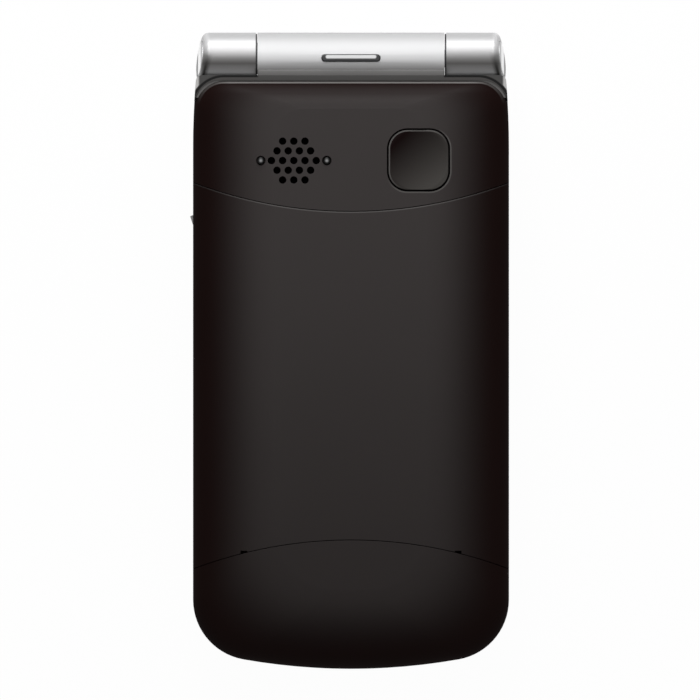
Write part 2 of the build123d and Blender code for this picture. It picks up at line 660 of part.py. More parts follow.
def battery_cover():
    """The lift-off cover between the two seams, with skirts that wrap round the sides."""
    skirt_z = SILL_Z + SEAM
    cover = (back_form(0) & cover_column(skirt_z, SEAM)) - back_form(COVER_WALL, BASE_Z)
    seam_y = -SEAM_ARC_RADIUS + math.sqrt(SEAM_ARC_RADIUS**2 - NOTCH_X**2)
    for side in (-1, 1):
        y = LOWER_SEAM_Y + seam_y
        cover -= Pos(side * NOTCH_X, y, 0) * block(
            -NOTCH_LENGTH / 2, NOTCH_LENGTH / 2, -NOTCH_WIDTH, NOTCH_WIDTH, ROUND_Z, BACK_Z + WALL
        )
    return cover


def front_housing():
    """The silver frame of the base: key plate, rim, head ledge and the middle hinge barrel."""
    body = slab(BASE_Z, FRONT_TOP_Z, FRONT_HEAD_Y, corner=FRAME_CORNER_RADIUS)
    ledge_z = FRONT_TOP_Z + LEDGE_HEIGHT
    ledge = slab(FRONT_TOP_Z - FIT, ledge_z, FRONT_HEAD_Y, corner=FRAME_CORNER_RADIUS)
    ledge -= slab(BASE_Z, BACK_Z, REAR_HEAD_Y, side=-SEAM, foot=-SEAM, head=-SEAM)
    ledge &= block(-HALF, HALF, TAPER_Y + HEAD_CORNER_RADIUS, HINGE_Y, BASE_Z, BACK_Z)
    body += ledge
    recess = {"side": FASCIA_INSET, "foot": FASCIA_INSET, "head": FASCIA_HEAD_INSET}
    body -= slab(BASE_Z - FIT, PLATE_Z, FRONT_HEAD_Y, **recess)
    body += slab(FRONT_TOP_Z, REAR_Z, REAR_HEAD_Y, side=LIP_INSET, foot=LIP_INSET, head=LIP_INSET)
    cavity = slab(PLATE_TOP_Z, REAR_Z + FIT, FRONT_HEAD_Y, side=WALL, foot=WALL, head=FASCIA_HEAD_INSET)
    body -= cavity
    for x, y in base_screw_places():
        boss = post(x, y, PLATE_TOP_Z - FIT, REAR_Z, BOSS_RADIUS)
        side = math.copysign(HALF - WALL / 2, x)
        body += boss + block(x, side, y - BOSS_RADIUS, y + BOSS_RADIUS, PLATE_TOP_Z, FRONT_TOP_Z)
        body -= post(x, y, PLATE_TOP_Z, REAR_Z + FIT, SCREW_RADIUS + SCREW_SLACK)
    for hole in key_openings(BASE_Z, PLATE_TOP_Z + FIT):
        body -= hole
    body -= post(MIC_X, MIC_Y, BASE_Z, PLATE_TOP_Z + FIT, MIC_HOLE_RADIUS)
    slot_z0, slot_z1 = slider_heights(SLIDER_CLEARANCE)
    body -= block(-HALF - WALL, -HALF + WALL + FIT, *slider_slot(), slot_z0, slot_z1)

    inner_half = BARREL_HALF_LENGTH + KNUCKLE_GAP / 2
    for side in (-1, 1):
        body -= rod(side * inner_half, side * PHONE_WIDTH, BARREL_RADIUS + BARREL_CLEARANCE)
    body -= rod(-inner_half, inner_half, BARREL_RADIUS - FIT)
    barrel = rod(-BARREL_HALF_LENGTH, BARREL_HALF_LENGTH, BARREL_RADIUS)
    barrel += barrel_fairing()
    body += barrel
    body -= rod(BARREL_HALF_LENGTH - MODULE_LENGTH, BARREL_HALF_LENGTH + FIT, MODULE_RADIUS)
    body -= rod(-BARREL_HALF_LENGTH - FIT, -BARREL_HALF_LENGTH + BUSH_REACH + FIT, BUSH_RADIUS + RUNNING_FIT)
    body -= light_bar(FIT / 2, LED_HEIGHT)
    return body - port_room()


def barrel_fairing():
    """Fills the corner between the middle barrel and the head ledge."""
    ledge_z = FRONT_TOP_Z + LEDGE_HEIGHT
    angle = math.radians(FAIRING_ANGLE)
    lean = HINGE_Y - BARREL_RADIUS * math.cos(angle)
    lean_z = HINGE_Z + BARREL_RADIUS * math.sin(angle)
    y_back = REAR_HEAD_Y + SEAM
    points = [
        (y_back, FRONT_TOP_Z - FIT),
        (y_back, ledge_z),
        (y_back + FAIRING_FLAT, ledge_z),
        (lean, lean_z),
        (HINGE_Y, HINGE_Z + BARREL_RADIUS / 2),
        (FRONT_HEAD_Y - HEAD_LEDGE, BASE_Z + FIT),
    ]
    profile = make_face(Polyline(*points, close=True))
    return extrude(Plane.YZ.offset(-BARREL_HALF_LENGTH) * profile, 2 * BARREL_HALF_LENGTH)


def light_bar(spare=0.0, deeper=0.0):
    """The indicator bar's form on top of the middle barrel, wider by spare and reaching deeper."""
    top_z = HINGE_Z + BARREL_RADIUS
    low_z = top_z - LIGHT_DEPTH - deeper
    bar = extrude(SlotOverall(LIGHT_LENGTH + 2 * spare, LIGHT_WIDTH + 2 * spare), top_z + LIGHT_PROUD - low_z)
    return Pos(0, HINGE_Y, low_z) * bar


def hinge_light():
    """The clear indicator bar, with a soft top edge."""
    bar = light_bar()
    return fillet(bar.faces().sort_by(Axis.Z)[-1].edges(), LIGHT_EDGE)


def indicator_led():
    """The lamp under the indicator bar."""
    x, y = LED_LENGTH / 2, LED_WIDTH / 2
    z1 = HINGE_Z + BARREL_RADIUS - LIGHT_DEPTH
    return block(-x, x, HINGE_Y - y, HINGE_Y + y, z1 - LED_HEIGHT, z1)


def keypad_fascia():
    """The gloss plate round the keys."""
    spare = FIT / 2
    sheet = slab(
        BASE_Z,
        PLATE_Z,
        FRONT_HEAD_Y,
        side=FASCIA_INSET + spare,
        foot=FASCIA_INSET + spare,
        head=FASCIA_HEAD_INSET + spare,
    )
    for hole in key_openings(BASE_Z - FIT, PLATE_Z + FIT):
        sheet -= hole
    return sheet - post(MIC_X, MIC_Y, BASE_Z - FIT, PLATE_Z + FIT, MIC_HOLE_RADIUS)


# ---------------------------------------------------------------- base: inner pieces
def dome_sheet():
    """The sheet of snap domes behind the keys."""
    half = HALF - KEYPAD_SIDE_MARGIN
    y0, y1 = KEYPAD_FOOT_Y - SHEET_MARGIN, KEYPAD_HEAD_Y + SHEET_MARGIN
    return block(-half, half, y0, y1, DOME_SHEET_Z, BOARD_Z)


def main_board():
    """The base's circuit board, clamped between the front housing's bosses and the rear housing."""
    edges = {"side": BOARD_INSET, "foot": BOARD_INSET, "head": BOARD_HEAD_INSET}
    board = slab(BOARD_Z, BOARD_TOP_Z, FRONT_HEAD_Y, **edges)
    for x, y in base_screw_places():
        board -= post(x, y, BASE_Z, BACK_Z, BOSS_RADIUS + FIT * 2)
        outer = math.copysign(HALF, x)
        board -= block(x, outer, y - BOSS_RADIUS - FIT * 2, y + BOSS_RADIUS + FIT * 2, BASE_Z, BACK_Z)
    return board - port_notch()


def battery():
    """The battery pack, in its bay."""
    y = (BATTERY_HEAD_Y + BATTERY_FOOT_Y) / 2
    length = BATTERY_HEAD_Y - BATTERY_FOOT_Y
    pack = plate(0, y, BATTERY_WIDTH, length, BATTERY_CORNER, FLOOR_Z, FLOOR_Z + BATTERY_HEIGHT)
    ends = pack.faces().sort_by(Axis.Z)
    return fillet(ends[0].edges() + ends[-1].edges(), BATTERY_EDGE)


def battery_contacts():
    """Three spring blades between the battery's head and the bay's wall."""
    y1 = BAY_HEAD_Y
    y0 = BATTERY_HEAD_Y + FIT
    blades = Part()
    for index in (-1, 0, 1):
        x = index * CONTACT_PITCH
        x0, x1 = x - CONTACT_WIDTH / 2, x + CONTACT_WIDTH / 2
        foot = block(x0, x1, y0, y1, FLOOR_Z, FLOOR_Z + CONTACT_FOOT)
        blades += foot + block(x0, x1, y1 - CONTACT_THICKNESS, y1, FLOOR_Z, FLOOR_Z + CONTACT_HEIGHT)
    return blades


def loudspeaker():
    """The loudspeaker, a can with a cone and a dome, behind its gasket."""
    z1 = DECK_Z - GASKET_HEIGHT
    can = post(GRILLE_X, GRILLE_Y, z1 - SPEAKER_HEIGHT, z1, SPEAKER_RADIUS)
    can -= post(GRILLE_X, GRILLE_Y, z1 - SPEAKER_CONE_DEPTH, z1, SPEAKER_RADIUS - SPEAKER_RIB)
    dome_z = z1 - SPEAKER_DOME_DEPTH
    return can + post(GRILLE_X, GRILLE_Y, z1 - SPEAKER_CONE_DEPTH, dome_z, SPEAKER_DOME_RADIUS)


def speaker_gasket():
    """The soft ring between the loudspeaker and the deck."""
    z0 = DECK_Z - GASKET_HEIGHT
    ring = post(GRILLE_X, GRILLE_Y, z0, DECK_Z - MESH_THICKNESS, SPEAKER_RADIUS)
    return ring - post(GRILLE_X, GRILLE_Y, z0, DECK_Z, SPEAKER_RADIUS - SPEAKER_RIB)


def speaker_mesh():
    """The fine mesh behind the loudspeaker's holes."""
    return post(GRILLE_X, GRILLE_Y, DECK_Z - MESH_THICKNESS, DECK_Z, SPEAKER_RADIUS)


def rest_pips():
    """Two small domes that keep the loudspeaker clear of a table."""
    pips = Part()
    for x, y in pip_places():
        pip = post(x, y, BACK_Z - PIP_POCKET_DEPTH, BACK_Z + PIP_PROUD, PIP_RADIUS)
        pips += fillet(pip.edges().sort_by(Axis.Z)[-1], PIP_PROUD)
    return pips


def rear_key():
    """The dished key on the back, with a flange that stops it behind the deck."""
    size = REAR_KEY_OPENING - 2 * REAR_KEY_CLEARANCE
    corner = REAR_KEY_CORNER - REAR_KEY_CLEARANCE
    top_z = BACK_Z - REAR_KEY_RECESS
    cap = plate(REAR_KEY_X, REAR_KEY_Y, size, size, corner, REAR_FLANGE_Z, top_z)
    cap = fillet(cap.faces().sort_by(Axis.Z)[-1].edges(), REAR_KEY_EDGE)
    reach = size / 2
    ball = (reach**2 + REAR_KEY_DISH**2) / (2 * REAR_KEY_DISH)
    cap -= Pos(REAR_KEY_X, REAR_KEY_Y, top_z - REAR_KEY_DISH + ball) * Sphere(ball)
    wide = REAR_KEY_OPENING + 2 * REAR_KEY_FLANGE
    flange = plate(
        REAR_KEY_X,
        REAR_KEY_Y,
        wide,
        wide,
        REAR_KEY_CORNER + REAR_KEY_FLANGE,
        REAR_FLANGE_Z,
        REAR_FLANGE_Z + REAR_KEY_FLANGE_HEIGHT,
    )
    return cap + flange


def rear_switch():
    """The switch under the back key, on the main board."""
    top_z = REAR_FLANGE_Z - REAR_KEY_TRAVEL - FIT / 2
    half = SWITCH_SIZE / 2
    body = block(
        REAR_KEY_X - half,
        REAR_KEY_X + half,
        REAR_KEY_Y - half,
        REAR_KEY_Y + half,
        BOARD_TOP_Z,
        top_z - SWITCH_PLUNGER_HEIGHT,
    )
    return body + post(REAR_KEY_X, REAR_KEY_Y, BOARD_TOP_Z, top_z, SWITCH_PLUNGER_RADIUS)


def vibration_motor():
    """A small motor on its seat, with a half-round weight on its shaft."""
    z = BOARD_TOP_Z + MOTOR_RADIUS
    x0 = -MOTOR_LENGTH
    can = rod(x0, 0, MOTOR_RADIUS, MOTOR_Y, z)
    seat = block(x0, 0, MOTOR_Y - MOTOR_SEAT, MOTOR_Y + MOTOR_SEAT, BOARD_TOP_Z, z)
    shaft = rod(0, MOTOR_SHAFT_LENGTH, MOTOR_SHAFT_RADIUS, MOTOR_Y, z)
    weight_x = MOTOR_SHAFT_LENGTH - MOTOR_WEIGHT_LENGTH
    weight = rod(weight_x, MOTOR_SHAFT_LENGTH, MOTOR_WEIGHT_RADIUS, MOTOR_Y, z)
    cut_y0, cut_y1 = MOTOR_Y - MOTOR_RADIUS, MOTOR_Y + MOTOR_RADIUS
    weight -= block(0, MOTOR_LENGTH, cut_y0, cut_y1, z + MOTOR_SHAFT_RADIUS, BACK_Z)
    return can + seat + shaft + weight


def antenna():
    """A carrier with the antenna on it, standing on the foot of the main board."""
    x, y = ANTENNA_WIDTH / 2, ANTENNA_LENGTH / 2
    carrier = block(-x, x, ANTENNA_Y - y, ANTENNA_Y + y, BOARD_TOP_Z, BOARD_TOP_Z + ANTENNA_HEIGHT)
    return carrier - port_notch()


def microphone():
    """The microphone, on the keypad side of the main board."""
    half = MIC_SIZE / 2
    return block(MIC_X - half, MIC_X + half, MIC_Y - half, MIC_Y + half, BOARD_Z - MIC_HEIGHT + FIT, BOARD_Z)


def charging_port():
    """A small charging socket in a notch of the main board: a metal shell with a tongue and two tabs."""
    y0 = FOOT_Y + PORT_RECESS
    y1 = y0 + PORT_DEPTH
    half = PORT_WIDTH / 2
    z0, z1 = PORT_Z, PORT_Z + PORT_HEIGHT
    shell = block(-half, half, y0, y1, z0, z1)
    inner = half - PORT_WALL
    shell -= block(-inner, inner, y0 - FIT, y1 - PORT_WALL, z0 + PORT_WALL, z1 - PORT_WALL)
    middle = (z0 + z1) / 2
    x, z = TONGUE_WIDTH / 2, TONGUE_THICKNESS / 2
    shell += block(-x, x, y0 + TONGUE_SETBACK, y1, middle - z, middle + z)
    tab_y, tab_z = y0 + PORT_WING_SETBACK, BOARD_TOP_Z + PORT_WING_THICKNESS
    for side in (-1, 1):
        outer = side * (half + PORT_WING_WIDTH)
        shell += block(side * half, outer, tab_y, tab_y + PORT_WING_LENGTH, BOARD_TOP_Z, tab_z)
    return shell


def base_screws():
    """Four screws under the battery cover, into the front housing's bosses."""
    screws = Part()
    for x, y in base_screw_places():
        screws += screw(x, y, base_screw_head_z(), PLATE_TOP_Z + FIT, -1)
    return screws


def slider_slot():
    """Lower and upper end of the slot in the side wall."""
    reach = SLIDER_STEM_LENGTH / 2 + SLIDER_CLEARANCE
    return SLIDER_Y - reach - SLIDER_TRAVEL, SLIDER_Y + reach


def slider_heights(spare=0.0):
    """Lower and upper edge of the side slider's stem, in the middle of the cavity's wall."""
    middle = (PLATE_TOP_Z + FRONT_TOP_Z) / 2
    return middle - SLIDER_HEIGHT / 2 - spare, middle + SLIDER_HEIGHT / 2 + spare


def side_slider():
    """The slide switch in the side wall: inner plate, stem, and a wedge for the thumbnail."""
    z0, z1 = slider_heights()
    half = SLIDER_STEM_LENGTH / 2
    outer_x = -HALF + FIT / 2
    inner_x = -HALF + WALL + SLIDER_CLEARANCE
    stem = block(outer_x, inner_x + FIT, SLIDER_Y - half, SLIDER_Y + half, z0, z1)
    # The inner plate covers the slot at both ends of its travel.
    slot_y0, slot_y1 = slider_slot()
    margin = SLIDER_PLATE_MARGIN
    back_y0, back_y1 = slot_y0 - margin, slot_y1 + SLIDER_TRAVEL + margin
    back = block(inner_x, inner_x + SLIDER_PLATE, back_y0, back_y1, z0 - margin, z1 + margin)
    ridge = SLIDER_RIDGE_LENGTH / 2
    crest = (-HALF - SLIDER_PROUD, SLIDER_Y + ridge - SLIDER_PROUD / 2)
    points = [(outer_x, SLIDER_Y + ridge), crest, (outer_x, SLIDER_Y - ridge)]
    wedge = make_face(Polyline(*points, close=True))
    return stem + back + Pos(0, 0, z0) * extrude(wedge, z1 - z0)


# ---------------------------------------------------------------- hinge pieces
def hinge_module():
    """The spring cartridge in the middle barrel."""
    x1 = BARREL_HALF_LENGTH
    x0 = x1 - MODULE_LENGTH
    can = rod(x0, x1, MODULE_RADIUS)
    can -= rod(x0 + MODULE_WALL, x1 - MODULE_WALL, MODULE_RADIUS - MODULE_WALL)
    return can - rod(x1 - MODULE_WALL - FIT, x1 + FIT, CAM_SHAFT_RADIUS + RUNNING_FIT)


def hinge_spring():
    """The spring that pushes the cam shaft's head."""
    x0 = BARREL_HALF_LENGTH - MODULE_LENGTH + MODULE_WALL + SPRING_WIRE_RADIUS + FIT
    x1 = BARREL_HALF_LENGTH - CAM_SHAFT_REACH - SPRING_WIRE_RADIUS - FIT
    radius = MODULE_RADIUS - MODULE_WALL - SPRING_WIRE_RADIUS - FIT
    path = Helix(SPRING_PITCH, x1 - x0, radius)
    start = Plane(path @ 0, z_dir=path % 0)
    wire = sweep(start * Circle(SPRING_WIRE_RADIUS), path=path)
    return Pos(x0, HINGE_Y, HINGE_Z) * Rot(0, 90, 0) * wire


def gap_collar(side):
    """The thin collar against a knuckle, which closes most of the gap beside the middle barrel."""
    x_gap = side * (BARREL_HALF_LENGTH + KNUCKLE_GAP)
    return rod(x_gap - side * COLLAR_THICKNESS, x_gap, BARREL_RADIUS - COLLAR_SETBACK)


def cam_shaft():
    """The shaft that is fixed in the right knuckle and turns in the cartridge."""
    x1 = BARREL_HALF_LENGTH + KNUCKLE_GAP + CAM_SHAFT_REACH
    x0 = BARREL_HALF_LENGTH - CAM_SHAFT_REACH
    shaft = rod(x0, x1, CAM_SHAFT_RADIUS)
    head = rod(x0, x0 + CAM_HEAD_LENGTH, MODULE_RADIUS - MODULE_WALL - FIT)
    return shaft + head + gap_collar(1)


def hinge_bush():
    """The hollow bush of the left knuckle, through which the display ribbon passes."""
    x_gap = -BARREL_HALF_LENGTH - KNUCKLE_GAP
    bush = rod(x_gap - BUSH_REACH, -BARREL_HALF_LENGTH + BUSH_REACH, BUSH_RADIUS) + gap_collar(-1)
    inner = BUSH_RADIUS - BUSH_WALL
    return bush - rod(x_gap - BUSH_REACH - FIT, -BARREL_HALF_LENGTH + BUSH_REACH + FIT, inner)


def display_ribbon():
    """The wound ribbon inside the bush."""
    x_gap = -BARREL_HALF_LENGTH - KNUCKLE_GAP
    x0 = x_gap - BUSH_REACH + FIT
    x1 = -BARREL_HALF_LENGTH + BUSH_REACH - FIT
    radius = BUSH_RADIUS - BUSH_WALL
    return rod(x0, x1, radius) - rod(x0, x1, radius - FLEX_THICKNESS)


def knuckle_plane(side):
    """The leaning plane of a knuckle's end face, with its normal outwards."""
    yaw, draft = math.radians(KNUCKLE_YAW), math.radians(KNUCKLE_DRAFT)
    normal = Vector(side * math.cos(yaw) * math.cos(draft), math.sin(yaw), math.sin(draft))
    return Plane((side * KNUCKLE_END, HINGE_Y, HINGE_Z), x_dir=(0, 0, 1), z_dir=normal)


def end_cap(side):
    """The round cap in a knuckle's end, a shallow dome."""
    radius = END_CAP_RADIUS - CAP_CLEARANCE
    disc = Pos(0, 0, (END_CAP_PROUD - END_CAP_DEPTH) / 2) * Cylinder(radius, END_CAP_DEPTH + END_CAP_PROUD)
    disc = fillet(disc.edges().sort_by(Axis.Z)[-1], END_CAP_PROUD)
    return knuckle_plane(side) * disc


def knuckle(side):
    """One hinge knuckle with the neck that carries it on the lid's frame."""
    inner_x = side * (BARREL_HALF_LENGTH + KNUCKLE_GAP)
    beyond = side * PHONE_WIDTH
    end_plane = knuckle_plane(side)
    cutter = end_plane * (Pos(0, 0, PHONE_WIDTH / 2) * Box(PHONE_WIDTH, PHONE_WIDTH, PHONE_WIDTH))
    barrel = rod(inner_x, beyond / 2, BARREL_RADIUS) - cutter
    rim = barrel.faces().sort_by(Axis.X)[-1 if side > 0 else 0].edges()
    barrel = fillet(rim, KNUCKLE_EDGE_RADIUS)
    foot_y = LID_HEAD_Y + FIT
    tangent_y, tangent_z = lower_tangent(foot_y, NECK_FOOT)
    points = [
        (foot_y - NECK_ROOT, LID_FRAME_Z),
        (foot_y, LID_FRAME_Z),
        (foot_y, NECK_FOOT),
        (tangent_y, tangent_z),
        (HINGE_Y, HINGE_Z),
        (HINGE_Y - BARREL_RADIUS / 2, LID_THICKNESS),
        (foot_y, LID_THICKNESS),
        (foot_y, LID_FRAME_TOP_Z),
        (foot_y - NECK_ROOT, LID_FRAME_TOP_Z),
    ]
    profile = Plane.YZ.offset(inner_x) * make_face(Polyline(*points, close=True))
    neck = extrude(profile, side * (NECK_END - abs(inner_x))) - cutter
    whole = barrel + neck
    disc = Pos(0, 0, (FIT - END_CAP_DEPTH) / 2) * Cylinder(END_CAP_RADIUS, END_CAP_DEPTH + FIT)
    return whole - end_plane * disc


def lower_tangent(y, z):
    """Where the line from (y, z) touches the underside of the hinge barrel."""
    dy, dz = HINGE_Y - y, HINGE_Z - z
    distance = math.hypot(dy, dz)
    turn = math.asin(BARREL_RADIUS / distance)
    along = math.sqrt(distance**2 - BARREL_RADIUS**2)
    heading = math.atan2(dz, dy) - turn
    return y + along * math.cos(heading), z + along * math.sin(heading)


# ---------------------------------------------------------------- lid
def lid_screw_places():
    """Centres of the lid's four screws."""
    return [(side * LID_SCREW_X, y) for side in (-1, 1) for y in LID_SCREW_Y]


def lid_frame():
    """The silver frame of the lid: side band, carrier plate and the two knuckles."""
    inner = {"side": LID_WALL, "foot": LID_WALL, "head": LID_WALL, "slimmer": LID_SLIMMER}
    frame = slab(LID_FRAME_Z, LID_FRAME_TOP_Z, LID_HEAD_Y, slimmer=LID_SLIMMER)
    frame -= slab(LID_FRAME_Z - FIT, FRAME_PLATE_Z, LID_HEAD_Y, **inner)
    frame -= slab(FRAME_PLATE_TOP_Z, LID_THICKNESS, LID_HEAD_Y, **inner)
    frame += lip(LID_COVER_DEPTH, LID_FRAME_Z, LID_HEAD_Y, LID_COVER_WALL, LID_SLIMMER)
    frame += lip(LID_FRAME_TOP_Z, BEZEL_Z, LID_HEAD_Y, LID_WALL, LID_SLIMMER)
    for x, y in lid_screw_places():
        frame += post(x, y, FRAME_PLATE_Z, LID_FRAME_TOP_Z, BOSS_RADIUS)
    for side in (-1, 1):
        frame += knuckle(side)
    for x, y in lid_screw_places():
        frame -= post(x, y, 0, LID_THICKNESS, SCREW_RADIUS + SCREW_SLACK)
    x_gap = BARREL_HALF_LENGTH + KNUCKLE_GAP
    frame -= rod(x_gap - FIT, x_gap + CAM_SHAFT_REACH, CAM_SHAFT_RADIUS)
    frame -= rod(-x_gap + FIT, -x_gap - BUSH_REACH, BUSH_RADIUS)
    return frame


def lid_cover():
    """The outer shell of the lid, which the closed phone lies on."""
    shell = lid_form(0) - lid_form(LID_COVER_WALL, LID_COVER_DEPTH + FIT)
    for x, y in lid_screw_places():
        shell += post(x, y, LID_COVER_WALL / 2, FRAME_PLATE_Z, BOSS_RADIUS)
        shell -= post(x, y, LID_COVER_WALL, FRAME_PLATE_Z + FIT, SCREW_RADIUS + SCREW_SLACK)
    width, length = SMALL_LENS_WIDTH + 2 * FIT, SMALL_LENS_LENGTH + 2 * FIT
    seat_z = SMALL_LENS_RECESS + SMALL_LENS_THICKNESS
    shell -= plate(0, SMALL_LENS_Y, width, length, SMALL_LENS_CORNER + FIT, -FIT, seat_z)
    ledge = 2 * LENS_LEDGE
    shell -= plate(
        0, SMALL_LENS_Y, width - ledge, length - ledge, SMALL_LENS_CORNER - LENS_LEDGE, -FIT, LID_COVER_DEPTH
    )
    return shell


def small_lens():
    """The clear window of the outer display, flush with the lid cover."""
    z0 = SMALL_LENS_RECESS
    z1 = z0 + SMALL_LENS_THICKNESS
    return plate(0, SMALL_LENS_Y, SMALL_LENS_WIDTH, SMALL_LENS_LENGTH, SMALL_LENS_CORNER, z0, z1)


def small_display():
    """The clock display behind the small lens, held under the carrier plate."""
    z1 = FRAME_PLATE_Z
    return plate(
        0,
        SMALL_LENS_Y,
        SMALL_LENS_WIDTH + 2 * SMALL_DISPLAY_MARGIN,
        SMALL_LENS_LENGTH + 2 * SMALL_DISPLAY_MARGIN,
        DISPLAY_CORNER,
        z1 - SMALL_DISPLAY_THICKNESS,
        z1,
    )


def inner_bezel():
    """The gloss bezel round the main display."""
    spare = BEZEL_INSET
    sheet = slab(BEZEL_Z, LID_THICKNESS, LID_HEAD_Y, side=spare, foot=spare, head=spare, slimmer=LID_SLIMMER)
    width, length = LENS_WIDTH + 2 * FIT, LENS_LENGTH + 2 * FIT
    sheet -= plate(0, LENS_Y, width, length, LENS_CORNER + FIT, BEZEL_Z - FIT, LID_THICKNESS + FIT)
    slot = extrude(SlotOverall(EARPIECE_SLOT, EARPIECE_SLOT_WIDTH), BEZEL_THICKNESS + 2 * FIT)
    sheet -= Pos(0, EARPIECE_Y, BEZEL_Z - FIT) * slot
    for x, y in lid_screw_places():
        sheet -= post(x, y, LID_THICKNESS - BUMPER_POCKET, LID_THICKNESS + FIT, BUMPER_RADIUS)
        sheet -= post(x, y, BEZEL_Z - FIT, LID_THICKNESS, SCREW_HEAD_RADIUS + FIT)
    return sheet


def main_lens():
    """The clear window of the main display."""
    return plate(0, LENS_Y, LENS_WIDTH, LENS_LENGTH, LENS_CORNER, LENS_Z, LENS_Z + LENS_THICKNESS)


def main_display():
    """The display module under the main lens, which carries the lens on its frame."""
    width = LENS_WIDTH - 2 * DISPLAY_MARGIN
    length = LENS_LENGTH - 2 * DISPLAY_MARGIN
    return plate(0, LENS_Y, width, length, DISPLAY_CORNER, DISPLAY_Z, LENS_Z)


def lid_board():
    """The lid's circuit board, on the carrier plate."""
    width, length = LENS_WIDTH - 2 * LID_BOARD_MARGIN, LENS_LENGTH - 2 * LID_BOARD_MARGIN
    return plate(0, LENS_Y, width, length, LENS_CORNER, FRAME_PLATE_TOP_Z, DISPLAY_Z)


def receiver():
    """The earpiece behind the slot, on the carrier plate."""
    x, y = RECEIVER_WIDTH / 2, RECEIVER_LENGTH / 2
    return block(-x, x, EARPIECE_Y - y, EARPIECE_Y + y, FRAME_PLATE_TOP_Z, LID_FRAME_TOP_Z - MESH_THICKNESS)


def earpiece_mesh():
    """The fine mesh behind the earpiece's slot."""
    x = EARPIECE_SLOT / 2 + EARPIECE_MESH_MARGIN
    y = EARPIECE_SLOT_WIDTH / 2 + EARPIECE_MESH_MARGIN
    return block(-x, x, EARPIECE_Y - y, EARPIECE_Y + y, BEZEL_Z - MESH_THICKNESS, BEZEL_Z)


def lid_screws():
    """Four screws through the lid's frame, under the bumpers."""
    screws = Part()
    for x, y in lid_screw_places():
        screws += screw(x, y, LID_FRAME_TOP_Z + SCREW_HEAD_HEIGHT, LID_COVER_WALL + FIT, -1)
    return screws


def bumpers():
    """Four soft pads over the lid's screws, which keep the halves apart."""
    pads = Part()
    for x, y in lid_screw_places():
        pads += post(x, y, LID_THICKNESS - BUMPER_POCKET, BASE_Z - BUMPER_GAP, BUMPER_RADIUS)
    return pads


def magnet():
    """The magnet that tells the phone it is closed."""
    x, y = MAGNET_WIDTH / 2, MAGNET_LENGTH / 2
    z1 = FRAME_PLATE_TOP_Z + MAGNET_HEIGHT
    return block(MAGNET_X - x, MAGNET_X + x, MAGNET_Y - y, MAGNET_Y + y, FRAME_PLATE_TOP_Z, z1)


# ---------------------------------------------------------------- write every piece
def pieces():
    """Every piece of the phone, by its name."""
    made = {
        "lid_frame": lid_frame(),
        "lid_cover": lid_cover(),
        "small_lens": small_lens(),
        "small_display": small_display(),
        "inner_bezel": inner_bezel(),
        "main_lens": main_lens(),
        "main_display": main_display(),
        "lid_board": lid_board(),
        "receiver": receiver(),
        "earpiece_mesh": earpiece_mesh(),
        "lid_screws": lid_screws(),
        "bumpers": bumpers(),
        "magnet": magnet(),
        "end_cap_left": end_cap(-1),
        "end_cap_right": end_cap(1),
        "cam_shaft": cam_shaft(),
        "hinge_bush": hinge_bush(),
        "display_ribbon": display_ribbon(),
        "front_housing": front_housing(),
        "rear_housing": rear_housing(),
        "keypad_fascia": keypad_fascia(),
        "hinge_light": hinge_light(),
        "indicator_led": indicator_led(),
        "hinge_module": hinge_module(),
        "hinge_spring": hinge_spring(),
        "dome_sheet": dome_sheet(),
        "main_board": main_board(),
        "battery": battery(),
        "battery_contacts": battery_contacts(),
        "loudspeaker": loudspeaker(),
        "speaker_gasket": speaker_gasket(),
        "speaker_mesh": speaker_mesh(),
        "rest_pips": rest_pips(),
        "rear_switch": rear_switch(),
        "vibration_motor": vibration_motor(),
        "antenna": antenna(),
        "microphone": microphone(),
        "charging_port": charging_port(),
        "base_screws": base_screws(),
        "battery_cover": battery_cover(),
        "rear_key": rear_key(),
        "side_slider": side_slider(),
        "nav_rocker": nav_rocker(),
    }
    for name, x, y, length in key_places():
        made[name] = key(x, y, length)
    return made


os.makedirs("parts", exist_ok=True)
for piece_name, shape in pieces().items():
    export_step(shape, f"parts/{piece_name}.step")
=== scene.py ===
# %% [markdown]
# # A closed clamshell phone, dressed for a studio picture
#
# The phone lies on its lid, with the black back of the keypad half towards us and the silver
# hinge at the far end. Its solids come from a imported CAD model, in metres, with X across the
# phone, +Y towards the hinge and +Z up. This lesson gives each solid a believable finish, adds
# the print on the keys, and sets up the light and the camera.

# %% Load the CAD model as a fixed frame
import math

import bmesh
import bpy
from mathutils import Matrix, Vector


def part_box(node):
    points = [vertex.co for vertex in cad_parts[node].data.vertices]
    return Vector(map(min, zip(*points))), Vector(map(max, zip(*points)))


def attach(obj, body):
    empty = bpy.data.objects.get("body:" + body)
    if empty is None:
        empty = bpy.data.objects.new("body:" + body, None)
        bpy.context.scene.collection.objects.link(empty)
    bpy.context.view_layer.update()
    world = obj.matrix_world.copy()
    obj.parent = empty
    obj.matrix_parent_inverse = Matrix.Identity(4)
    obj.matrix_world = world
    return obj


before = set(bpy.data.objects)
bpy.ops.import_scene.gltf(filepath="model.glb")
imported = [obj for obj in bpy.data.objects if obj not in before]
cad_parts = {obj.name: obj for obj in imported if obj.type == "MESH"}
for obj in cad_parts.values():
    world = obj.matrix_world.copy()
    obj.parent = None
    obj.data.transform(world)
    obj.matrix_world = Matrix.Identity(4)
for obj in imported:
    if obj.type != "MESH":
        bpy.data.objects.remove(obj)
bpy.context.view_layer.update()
MM = 0.001

# %% [markdown]
# ## How a finish is put together
#
# Every finish starts from one Principled shader. A number that is the same all over is set on the
# shader itself. What varies, such as the colour of a moulded plastic or the depth of its grain,
# comes from noise read at Object coordinates. The model is in metres, so a noise scale of 1000 has
# features about a millimetre apart. Small helpers keep the recipes short.

